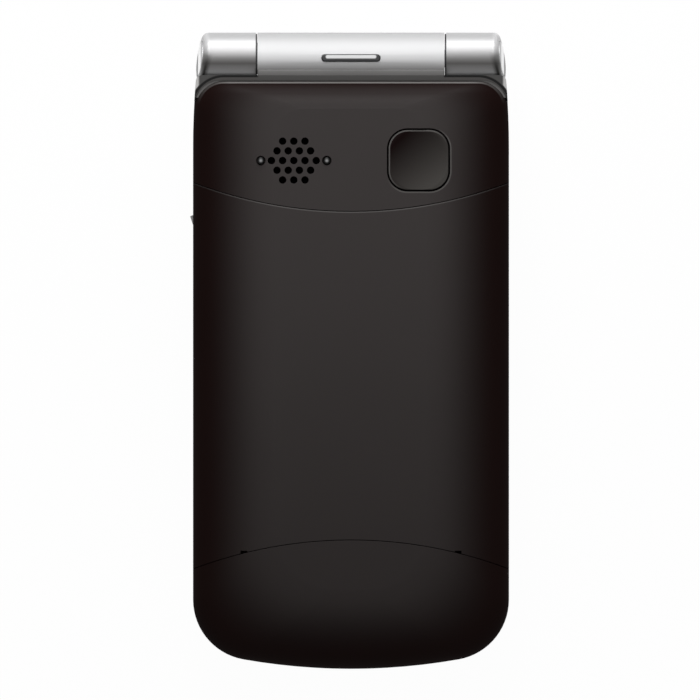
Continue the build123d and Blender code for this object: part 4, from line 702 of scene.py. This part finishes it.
# %% [markdown]
# ## Circuit boards, flex and dome sheet
#
# A circuit board is glass cloth under green solder mask. Copper tracks show through the mask as
# slightly lighter lines, and bare pads are gold. A brick texture whose rows are long and thin makes
# the tracks, and a second one with few large bricks makes rows of pads.

# %% Circuit board
def bricks(tree, length, height, gap, offset):
    """1 in the joints of a brick pattern, 0 in the bricks, with sizes in metres."""
    wall = tree.nodes.new("ShaderNodeTexBrick")
    wall.offset = offset
    wall.inputs["Color1"].default_value = (0.0, 0.0, 0.0, 1.0)
    wall.inputs["Color2"].default_value = (0.0, 0.0, 0.0, 1.0)
    wall.inputs["Mortar"].default_value = (1.0, 1.0, 1.0, 1.0)
    wall.inputs["Scale"].default_value = 1.0
    wall.inputs["Brick Width"].default_value = length
    wall.inputs["Row Height"].default_value = height
    wall.inputs["Mortar Size"].default_value = gap
    wall.inputs["Mortar Smooth"].default_value = 0.1
    tree.links.new(position(tree), wall.inputs["Vector"])
    return wall.outputs["Color"]


def circuit_board(name):
    """Green solder mask with tracks under it and gold pads here and there."""
    mask_green, track_green, pad_gold = (0.008, 0.075, 0.03), (0.02, 0.17, 0.06), (0.75, 0.52, 0.2)
    material, tree, shader = new_finish(name, mask_green, roughness=0.35)
    tracks = bricks(tree, length=6.0 * MM, height=0.9 * MM, gap=0.12 * MM, offset=0.35)
    mask = drifting(tree, mask_green, drift=0.1, per_metre=400.0)
    green = blend_colours(tree, tracks, mask, track_green)
    pads = bricks(tree, length=3.1 * MM, height=4.3 * MM, gap=0.28 * MM, offset=0.5)
    spots = rising(tree, noise(tree, 420.0, detail=0.0), start=0.56, stop=0.58)
    chosen = overlap(tree, pads, spots)
    tree.links.new(blend_colours(tree, chosen, green, pad_gold), shader.inputs["Base Color"])
    tree.links.new(chosen, shader.inputs["Metallic"])
    relief(tree, shader, tracks, depth=0.02 * MM, soft_edge=0.04 * MM)
    return material


board_green = circuit_board("board_green")
print("board:", board_green.name)

# %% Flex and antenna carrier
def printed_film(name, film, copper, roughness):
    """Plastic film with rows of copper lines across the phone."""
    material, tree, shader = new_finish(name, film, roughness)
    lines = bricks(tree, length=40.0 * MM, height=0.55 * MM, gap=0.16 * MM, offset=0.0)
    film_colour = drifting(tree, film, drift=0.05, per_metre=200.0)
    lined = blend_colours(tree, lines, film_colour, copper)
    tree.links.new(lined, shader.inputs["Base Color"])
    relief(tree, shader, lines, depth=0.01 * MM)
    return material


amber_flex = printed_film(
    "amber_flex", film=(0.5, 0.22, 0.03), copper=(0.75, 0.4, 0.1), roughness=0.3
)
carrier_black = printed_film(
    "carrier_black", film=(0.02, 0.02, 0.021), copper=(0.72, 0.5, 0.2), roughness=0.45
)
print("printed films:", amber_flex.name, carrier_black.name)

# %% Dome sheet
key_five, key_six, key_eight = (middle_of(f"key_{digit}") for digit in (5, 6, 8))
column, row = abs(key_six.x - key_five.x), abs(key_eight.y - key_five.y)
DOME_EDGE = (0.17, 0.2)  # radius of a dome, as a share of the pitch


def dome_film(name):
    """Milky film over round metal snap domes, one under each key."""
    film, dome = (0.62, 0.62, 0.6), (0.75, 0.73, 0.68)
    material, tree, shader = new_finish(name, film, roughness=0.35)
    pitch = tree.nodes.new("ShaderNodeMapping")
    pitch.inputs["Scale"].default_value = (1.0 / column, 1.0 / row, 0.0)
    pitch.inputs["Location"].default_value = (0.5, 0.5 - key_five.y / row, 0.0)
    nearest = tree.nodes.new("ShaderNodeTexVoronoi")
    nearest.inputs["Scale"].default_value = 1.0
    nearest.inputs["Randomness"].default_value = 0.0
    tree.links.new(position(tree), pitch.inputs["Vector"])
    tree.links.new(pitch.outputs["Vector"], nearest.inputs["Vector"])
    domes = falling(tree, nearest.outputs["Distance"], *DOME_EDGE)
    tree.links.new(blend_colours(tree, domes, film, dome), shader.inputs["Base Color"])
    tree.links.new(domes, shader.inputs["Metallic"])
    relief(tree, shader, domes, depth=0.2 * MM)
    return material


dome_sheet_film = dome_film("dome_sheet_film")
print("dome pitch, mm:", round(column / MM, 2), round(row / MM, 2))

# %% [markdown]
# ## Glass, displays and light window
#
# The lenses are acrylic with a smoky tint, made as a dark, shiny surface that is partly
# see-through. Behind them lie liquid crystal panels that are switched off: almost black, slightly
# blue, with a matt black border printed round the active area. The window on the hinge is frosted,
# with painted shade where its edge sinks into the barrel.

# %% Acrylic lens
def acrylic(name, smoke, roughness, share):
    """Smoky, shiny plastic that lets what lies behind it show through each face by 1 - share."""
    material, tree, shader = new_finish(name, smoke, roughness, specular=0.3)
    shader.inputs["Alpha"].default_value = share
    smears = noise(tree, 90.0, detail=5.0)
    vary_roughness(tree, roughness, smears, least=0.8, most=1.3)
    tree.links.new(drifting(tree, smoke, drift=0.1), shader.inputs["Base Color"])
    return material


lens_smoky = acrylic("lens_smoky", (0.006, 0.006, 0.0065), roughness=0.12, share=0.45)
print("lens:", lens_smoky.name)

# %% Displays
PANEL_CORNER, PANEL_EDGE = 0.4 * MM, (-0.02 * MM, 0.02 * MM)
PANEL_GLOSS, BORDER_GLOSS = 0.25, 0.5  # roughness of each


def display_panel(name, node, margin):
    """A switched-off panel with a black border round its active area."""
    glass_blue, border = (0.013, 0.016, 0.022), (0.0025, 0.0025, 0.0025)
    material, tree, shader = new_finish(name, glass_blue, PANEL_GLOSS, specular=0.2)
    centre = middle_of(node)
    half = Vector(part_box(node)[1]) - centre
    edge = rounded_distance(tree, centre, half.x - margin, half.y - margin, PANEL_CORNER)
    active = falling(tree, edge, *PANEL_EDGE)
    panel = drifting(tree, glass_blue, drift=0.12, per_metre=30.0)
    tree.links.new(blend_colours(tree, active, border, panel), shader.inputs["Base Color"])
    gloss = between(tree, active, BORDER_GLOSS, PANEL_GLOSS, start=0.0, stop=1.0)
    tree.links.new(gloss, shader.inputs["Roughness"])
    return material


main_panel = display_panel("main_panel", "main_display", margin=3.0 * MM)
small_panel = display_panel("small_panel", "small_display", margin=3.4 * MM)
print("displays:", main_panel.name, small_panel.name)

# %% Frosted window on the hinge
STRIP_HALF_LENGTH, STRIP_HALF_WIDTH = 4.1 * MM, 0.2 * MM
STRIP_SHIFT = Vector((0.0, 0.2 * MM, 0.0))
STRIP_EDGE = (-0.02 * MM, 0.14 * MM)


def frosted_window(name, node):
    """Milky plastic whose rim is painted in shade, as a trough would be, wider towards the back of
    the phone.
    """
    milky, shaded = (0.62, 0.622, 0.625), (0.02, 0.02, 0.021)
    material, tree, shader = new_finish(name, milky, roughness=0.38, specular=0.3)
    centre = middle_of(node) + STRIP_SHIFT
    strip = rounded_distance(
        tree, centre, STRIP_HALF_LENGTH, STRIP_HALF_WIDTH, corner=STRIP_HALF_WIDTH
    )
    rim = rising(tree, strip, *STRIP_EDGE)
    window = blend_colours(tree, rim, drifting(tree, milky, drift=0.04), shaded)
    tree.links.new(window, shader.inputs["Base Color"])
    relief(tree, shader, noise(tree, 7000.0), depth=0.003 * MM, soft_edge=0.1 * MM)
    return material


window_frosted = frosted_window("window_frosted", "hinge_light")
led_white = coated("led_white", (0.8, 0.78, 0.6), roughness=0.4, specular=0.4)
print("window and its lamp:", window_frosted.name, led_white.name)

# %% [markdown]
# ## Battery and loudspeaker
#
# The battery is a foil-wrapped cell with a black end moulding at its contacts, so its finish
# changes at one height along the phone. The loudspeaker is a metal basket with a black rubber cone,
# so its finish changes with the distance from its centre.

# %% Battery
FINISH_EDGE = 0.05 * MM  # over which one finish changes to another
FOIL_SHINE = 0.85


def battery_wrap(name, node, end_length):
    """Grey foil with a black end towards the contacts."""
    foil, black = (0.34, 0.35, 0.36), (0.015, 0.015, 0.016)
    material, tree, shader = new_finish(name, foil, roughness=0.4, specular=0.4)
    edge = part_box(node)[1][1] - end_length
    at_end = rising(tree, along(tree, "Y"), edge - FINISH_EDGE, edge + FINISH_EDGE)
    foil_colour = drifting(tree, foil, drift=0.05, per_metre=120.0)
    tree.links.new(blend_colours(tree, at_end, foil_colour, black), shader.inputs["Base Color"])
    shine = between(tree, at_end, FOIL_SHINE, 0.0, start=0.0, stop=1.0)
    tree.links.new(shine, shader.inputs["Metallic"])
    relief(tree, shader, noise(tree, 260.0), depth=0.03 * MM, soft_edge=0.1 * MM)
    return material


battery_foil = battery_wrap("battery_foil", "battery", end_length=3.5 * MM)
print("battery:", battery_foil.name)

# %% Loudspeaker
def speaker_finish(name, node, cone_radius):
    """Black rubber cone inside a steel basket."""
    rubber, basket = (0.012, 0.012, 0.012), (0.42, 0.42, 0.43)
    material, tree, shader = new_finish(name, basket, roughness=0.4, specular=0.3)
    from_middle = round_distance(tree, middle_of(node))
    rim = rising(tree, from_middle, cone_radius - FINISH_EDGE, cone_radius)
    tree.links.new(blend_colours(tree, rim, rubber, basket), shader.inputs["Base Color"])
    tree.links.new(rim, shader.inputs["Metallic"])
    relief(tree, shader, noise(tree, 4000.0), depth=0.004 * MM, soft_edge=0.06 * MM)
    return material


speaker_basket = speaker_finish("speaker_basket", "loudspeaker", cone_radius=5.2 * MM)
print("loudspeaker:", speaker_basket.name)

# %% [markdown]
# ## Keys
#
# The keys are sprayed in a satin silver like the hinge's. They are small and close together, so
# their soft edges do most of the work, and the print on them comes later.

# %% Key finish
key_silver = coated(
    "key_silver", (0.36, 0.36, 0.365), roughness=0.42, metallic=0.5, specular=0.4, drift=0.03,
    soft_edge=0.1 * MM,
)
print("keys:", key_silver.name)

# %% [markdown]
# ## Finishes for the solids of the model
#
# A solid of the model keeps its shape and only gets a material. One table says which finish goes on
# which pieces, and the last line shows whether a piece was forgotten.

# %% Give the pieces of the model their finishes
KEY_NODES = [
    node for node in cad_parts
    if ("key_" in node or node.endswith("_key")) and node != "rear_key"
]
FINISHES = [
    (lid_black, ["lid_cover"]),
    (housing_black, ["rear_housing"]),
    (cover_black, ["battery_cover"]),
    (rear_key_black, ["rear_key"]),
    (gloss_black, ["inner_bezel", "keypad_fascia"]),
    (base_paint, ["front_housing"]),
    (lid_paint, ["lid_frame"]),
    (cap_silver, ["end_cap_left", "end_cap_right"]),
    (slider_grey, ["side_slider"]),
    (key_silver, KEY_NODES + ["nav_rocker"]),
    (window_frosted, ["hinge_light"]),
    (led_white, ["indicator_led"]),
    (pip_metal, ["rest_pips"]),
    (grille_cloth, ["speaker_mesh"]),
    (earpiece_cloth, ["earpiece_mesh"]),
    (lens_smoky, ["small_lens", "main_lens"]),
    (main_panel, ["main_display"]),
    (small_panel, ["small_display"]),
    (board_green, ["main_board", "lid_board"]),
    (amber_flex, ["display_ribbon"]),
    (carrier_black, ["antenna"]),
    (dome_sheet_film, ["dome_sheet"]),
    (soft_rubber, ["bumpers"]),
    (black_foam, ["speaker_gasket"]),
    (moulded_black, ["hinge_bush", "rear_switch"]),
    (burnished_steel, ["cam_shaft", "base_screws"]),
    (steel, ["hinge_module", "hinge_spring", "lid_screws", "vibration_motor", "charging_port",
             "microphone", "receiver"]),
    (nickel, ["magnet"]),
    (gold_plate, ["battery_contacts"]),
    (battery_foil, ["battery"]),
    (speaker_basket, ["loudspeaker"]),
]


def paint(node, material):
    """Gives a CAD node one finish all over."""
    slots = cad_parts[node].data.materials
    slots.clear()
    slots.append(material)


dressed = []
for material, nodes in FINISHES:
    for node in nodes:
        paint(node, material)
        dressed.append(node)
print("pieces without a finish:", sorted(set(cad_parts) - set(dressed)))

# %% [markdown]
# ## Print on the keys
#
# Each digit is a thin layer of dark print on its key. A text object gives clean outlines, and is
# made a mesh before it is put in place, because finished pieces sit at the origin. The keypad is
# read from below, with the hinge at the top, so the print is turned half round the Y axis. The two
# call keys carry a bowed handset in green and in red, made with a spin, the soft keys a rounded
# dash, and the rocker four small arrows, each a circle of three sides.

# %% Print finishes
print_dark = coated("print_dark", (0.015, 0.015, 0.016), roughness=0.5, specular=0.3)
print_green = coated("print_green", (0.02, 0.28, 0.05), roughness=0.45, specular=0.3)
print_red = coated("print_red", (0.42, 0.02, 0.015), roughness=0.45, specular=0.3)
PRINT_THICKNESS = 0.02 * MM
TURN_OVER = Matrix.Rotation(math.pi, 4, "Y")


def add_object(name, data):
    """Puts a mesh, lamp or camera in the scene as an object."""
    item = bpy.data.objects.new(name, data)
    bpy.context.scene.collection.objects.link(item)
    return item


def key_face(node):
    """The middle of a key's face, which looks down at the lid."""
    face = middle_of(node)
    face.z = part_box(node)[0][2]
    return face


def as_print(mesh, name, node, material, shift=(0.0, 0.0)):
    """Puts a flat mesh on a key's face, centred on its own outline, and lets it ride along."""
    corners = [vertex.co for vertex in mesh.vertices]
    low = Vector([min(c[i] for c in corners) for i in range(3)])
    high = Vector([max(c[i] for c in corners) for i in range(3)])
    mesh.transform(Matrix.Translation(-(low + high) / 2))
    place = key_face(node) + Vector((*shift, 0.0))
    mesh.transform(Matrix.Translation(place) @ TURN_OVER)
    mesh.materials.clear()
    mesh.materials.append(material)
    piece = add_object(name, mesh)
    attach(piece, node)


print("print, mm thick:", round(PRINT_THICKNESS / MM, 2))

# %% Digits
DIGIT_SIZE = 5.4 * MM
DIGITS = {**{f"key_{n}": str(n) for n in range(10)}, "key_star": "*", "key_hash": "#"}


def flat_text(words, size):
    """A text made a mesh, as thick as a layer of print."""
    curve = bpy.data.curves.new(words, "FONT")
    curve.body = words
    curve.size = size
    curve.extrude = PRINT_THICKNESS / 2
    holder = bpy.data.objects.new(words, curve)
    mesh = bpy.data.meshes.new_from_object(holder)
    bpy.data.objects.remove(holder)
    return mesh


for node, digit in DIGITS.items():
    as_print(flat_text(digit, DIGIT_SIZE), f"{node}_digit", node, print_dark)
print("digits:", len(DIGITS))

# %% From a flat bmesh to a thin mesh
def finished_mesh(bm, name):
    """Makes a bmesh a mesh and frees it."""
    mesh = bpy.data.meshes.new(name)
    bm.to_mesh(mesh)
    bm.free()
    return mesh


def thickened(bm, name, thickness):
    """Gives a flat bmesh a thickness, turns its faces outwards and makes it a mesh."""
    bmesh.ops.solidify(bm, geom=bm.faces[:], thickness=thickness)
    bmesh.ops.recalc_face_normals(bm, faces=bm.faces[:])
    return finished_mesh(bm, name)

# %% Handsets on the call keys
GRIP_INNER, GRIP_OUTER, GRIP_SWEEP = 3.0 * MM, 3.9 * MM, math.radians(96.0)
GRIP_STEPS = 14
EAR_LENGTH, EAR_SLANT = 1.2 * MM, 0.5 * MM
TOLERANCE = 0.02 * MM


def handset(name):
    """A bowed grip with a wider piece at each end."""
    bm = bmesh.new()
    inner, outer = bm.verts.new((-GRIP_INNER, 0.0, 0.0)), bm.verts.new((-GRIP_OUTER, 0.0, 0.0))
    start = bm.edges.new((inner, outer))
    lean = Matrix.Rotation(-(math.pi - GRIP_SWEEP) / 2, 3, "Z")
    bmesh.ops.rotate(bm, verts=[inner, outer], cent=(0.0, 0.0, 0.0), matrix=lean)
    bmesh.ops.spin(
        bm, geom=[inner, outer, start], cent=(0.0, 0.0, 0.0), axis=(0.0, 0.0, -1.0),
        angle=GRIP_SWEEP, steps=GRIP_STEPS, use_merge=False, use_duplicate=False,
    )
    rim = [edge for edge in bm.edges if edge.is_boundary]
    grip_width = GRIP_OUTER - GRIP_INNER
    for end in [edge for edge in rim if abs(edge.calc_length() - grip_width) < TOLERANCE]:
        middle = (end.verts[0].co + end.verts[1].co) / 2
        onwards = Vector((-middle.y, middle.x, 0.0)).normalized() * (1.0 if middle.x < 0 else -1.0)
        made = bmesh.ops.extrude_edge_only(bm, edges=[end])["geom"]
        tips = [item for item in made if isinstance(item, bmesh.types.BMVert)]
        bmesh.ops.translate(bm, verts=tips, vec=onwards * EAR_LENGTH)
        inward = min(tips, key=lambda tip: tip.co.length)
        bmesh.ops.translate(bm, verts=[inward], vec=-middle.normalized() * EAR_SLANT)
    return thickened(bm, name, PRINT_THICKNESS)


for node, colour in (("call_key", print_green), ("end_key", print_red)):
    as_print(handset(f"{node}_mark"), f"{node}_mark", node, colour)
print("handset, mm across:", round(2 * GRIP_OUTER / MM, 2))

# %% Dashes on the soft keys
DASH_LENGTH, DASH_WIDTH, DASH_CORNER = 3.2 * MM, 0.7 * MM, 0.3 * MM


def dash(name):
    """A short rounded bar."""
    bm = bmesh.new()
    bmesh.ops.create_grid(bm, x_segments=1, y_segments=1, size=0.5)
    bmesh.ops.scale(bm, verts=bm.verts[:], vec=(DASH_LENGTH, DASH_WIDTH, 1.0))
    bmesh.ops.bevel(
        bm, geom=bm.verts[:], offset=DASH_CORNER, segments=4, profile=0.5, affect="VERTICES",
        material=-1,
    )
    return thickened(bm, name, PRINT_THICKNESS)


for node in ("soft_key_left", "soft_key_right"):
    as_print(dash(f"{node}_mark"), f"{node}_mark", node, print_dark)
print("dash, mm:", round(DASH_LENGTH / MM, 2), round(DASH_WIDTH / MM, 2))

# %% Arrows on the rocker
ARROW_RADIUS, FIRST_TURN, QUARTER_TURN = 0.75 * MM, math.radians(60.0), math.radians(90.0)
ARROW_INSET_X, ARROW_INSET_Y = 2.6 * MM, 2.9 * MM
SIDES = ((0, 1), (-1, 0), (0, -1), (1, 0))


def arrow(name, turn):
    """A small triangle, turned by an angle."""
    bm = bmesh.new()
    bmesh.ops.create_circle(bm, cap_ends=True, segments=3, radius=ARROW_RADIUS)
    bmesh.ops.rotate(
        bm, verts=bm.verts[:], cent=(0.0, 0.0, 0.0), matrix=Matrix.Rotation(turn, 3, "Z")
    )
    return thickened(bm, name, PRINT_THICKNESS)


rocker_half = Vector(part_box("nav_rocker")[1]) - middle_of("nav_rocker")
reach_x, reach_y = rocker_half.x - ARROW_INSET_X, rocker_half.y - ARROW_INSET_Y
for index, (side_x, side_y) in enumerate(SIDES):
    name = f"rocker_arrow_{index}"
    turned = arrow(name, FIRST_TURN + QUARTER_TURN * index)
    shift = (side_x * reach_x, side_y * reach_y)
    as_print(turned, name, "nav_rocker", print_dark, shift)
print("arrows, mm from the rocker's middle:", round(reach_x / MM, 2), round(reach_y / MM, 2))

# %% [markdown]
# ## A seal in the head joint
#
# The joint between the head ledge and the rear housing is too narrow to see into, and a thin
# rubber seal closes it. The seal follows the rounded head of the housing: a rectangle gets rounded
# corners, an inset leaves a thin frame, the foot of the frame is cut away, and the rest is
# thickened.

# %% Head seal
SEAL_REACH = 0.4 * MM  # outwards from the housing, partly in the ledge's groove
SEAL_WIDTH, SEAL_HEIGHT, SEAL_TOP = 0.39 * MM, 0.6 * MM, 15.0 * MM
SEAL_END = 41.6 * MM  # along the phone, where the rounded corners have met the sides
bm = bmesh.new()
bmesh.ops.create_grid(bm, x_segments=1, y_segments=1, size=0.5)
seal_width, seal_length = 2 * (HEAD_HALF_WIDTH + SEAL_REACH), 2 * (head_edge + SEAL_REACH)
bmesh.ops.scale(bm, verts=bm.verts[:], vec=(seal_width, seal_length, 1.0))
bmesh.ops.translate(bm, verts=bm.verts[:], vec=(0.0, 0.0, SEAL_TOP))
bmesh.ops.bevel(
    bm, geom=bm.verts[:], offset=HEAD_CORNER + SEAL_REACH, segments=16, profile=0.5,
    affect="VERTICES", material=-1,
)
ring = bmesh.ops.inset_region(
    bm, faces=bm.faces[:], thickness=SEAL_WIDTH, use_boundary=True, use_even_offset=True
)["faces"]
inside = [face for face in bm.faces if face not in ring]
bmesh.ops.delete(bm, geom=inside, context="FACES")
bmesh.ops.bisect_plane(
    bm, geom=bm.verts[:] + bm.edges[:] + bm.faces[:], dist=0.0, plane_co=(0.0, SEAL_END, 0.0),
    plane_no=(0.0, -1.0, 0.0), clear_outer=True,
)
mesh = thickened(bm, "head_seal", SEAL_HEIGHT)
mesh.materials.append(coated("seal_grey", (0.085, 0.082, 0.08), roughness=0.7, specular=0.2))
head_seal = add_object("head_seal", mesh)
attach(head_seal, "base")
heights = [round(vertex.co.z / MM, 2) for vertex in mesh.vertices]
print("head seal:", len(mesh.polygons), "faces, mm above the table:", min(heights), max(heights))

# %% [markdown]
# ## Floor, world and lamps
#
# The floor and the world are white wherever the camera, a reflection or a view through glass
# meets them, so the picture's background is plain white. Near the phone the floor mixes in a little
# matt white, which takes a faint shadow. Two soft boxes light the phone: a small one above the
# hinge and a little beyond it, which gives the black back its soft light, and a large one further
# behind, which models the barrel.

# %% World
WHITE = (1.0, 1.0, 1.0, 1.0)
WORLD_FILL = 0.2  # strength of the world's light on the phone


def seen_directly(tree):
    """1 where a camera, glossy or transmission ray arrives, else 0."""
    path = tree.nodes.new("ShaderNodeLightPath")
    mirrored_or_through = number(
        tree, "MAXIMUM", path.outputs["Is Glossy Ray"], path.outputs["Is Transmission Ray"]
    )
    return number(tree, "MAXIMUM", path.outputs["Is Camera Ray"], mirrored_or_through)


world = bpy.data.worlds.new("studio")
bpy.context.scene.world = world
world.use_nodes = True
tree = world.node_tree
background = tree.nodes["Background"]
background.inputs["Color"].default_value = WHITE
strength = between(tree, seen_directly(tree), WORLD_FILL, 1.0, start=0.0, stop=1.0)
tree.links.new(strength, background.inputs["Strength"])
print("world light on the phone:", WORLD_FILL)

# %% Floor
FLOOR_SIZE = 12.0
FLOOR_MATT = (0.8, 0.8, 0.8, 1.0)
SHADOW_SHARE = 0.03  # of matt white under the phone
SHADOW_REACH = 0.25  # metres from the phone where the last of it ends

bm = bmesh.new()
bmesh.ops.create_grid(bm, x_segments=1, y_segments=1, size=FLOOR_SIZE / 2)
floor = add_object("floor", finished_mesh(bm, "floor"))
floor_white = bpy.data.materials.new("floor_white")
floor_white.use_nodes = True
tree = floor_white.node_tree
tree.nodes.remove(tree.nodes["Principled BSDF"])
place = tree.nodes.new("ShaderNodeTexCoord")
distance = vector(tree, "LENGTH", place.outputs["Object"])
clear_share = between(tree, distance, 1.0 - SHADOW_SHARE, 1.0, start=0.0, stop=SHADOW_REACH)
matt = tree.nodes.new("ShaderNodeBsdfDiffuse")
matt.inputs["Color"].default_value = FLOOR_MATT
glow = tree.nodes.new("ShaderNodeEmission")
mix = tree.nodes.new("ShaderNodeMixShader")
tree.links.new(overlap(tree, clear_share, seen_directly(tree)), mix.inputs["Fac"])
tree.links.new(matt.outputs["BSDF"], mix.inputs[1])
tree.links.new(glow.outputs["Emission"], mix.inputs[2])
tree.links.new(mix.outputs["Shader"], tree.nodes["Material Output"].inputs["Surface"])
floor.data.materials.append(floor_white)
print("floor, metres across:", FLOOR_SIZE)

# %% Lamps
RADIANCE = 6.0


def soft_box(name, place, target, width, height):
    """A rectangular lamp that faces target, with a set brightness per area."""
    light = bpy.data.lights.new(name, "AREA")
    light.shape = "RECTANGLE"
    light.size = width
    light.size_y = height
    light.energy = RADIANCE * math.pi * width * height
    lamp = add_object(name, light)
    lamp.location = place
    lamp.rotation_euler = (Vector(target) - Vector(place)).to_track_quat("-Z", "Y").to_euler()
    lamp.visible_camera = False
    print(name, "in watts:", round(light.energy, 3))


soft_box("head_box", (-0.02, 0.125, 0.19), target=(-0.015, 0.05, 0.0), width=0.07, height=0.1)
soft_box("hinge_box", (0.0, 0.28, 0.15), target=(0.0, 0.045, 0.01), width=0.26, height=0.24)

# %% [markdown]
# ## Camera
#
# The camera looks straight down on the back of the phone. A very long lens far above shows it
# nearly without perspective, so its outline is the outline of a drawing. The distance follows from
# how wide the picture should be at the level of the phone's band.

# %% Camera
FRAME_WIDTH, FRAME_LEVEL = 115.25 * MM, 13.0 * MM  # the picture is this wide at this height
LENS, SENSOR = 1000.0, 36.0
CAMERA_X, CAMERA_Y = -0.165 * MM, 0.08 * MM
VIEW_END = 20.0

camera_data = bpy.data.cameras.new("camera")
camera_data.lens = LENS
camera_data.sensor_width = SENSOR
camera_data.clip_end = VIEW_END
camera = add_object("camera", camera_data)
camera.location = (CAMERA_X, CAMERA_Y, FRAME_LEVEL + FRAME_WIDTH * LENS / SENSOR)
bpy.context.scene.camera = camera
bpy.context.scene.view_settings.view_transform = "Standard"
print("camera, metres above the table:", round(camera.location.z, 3))
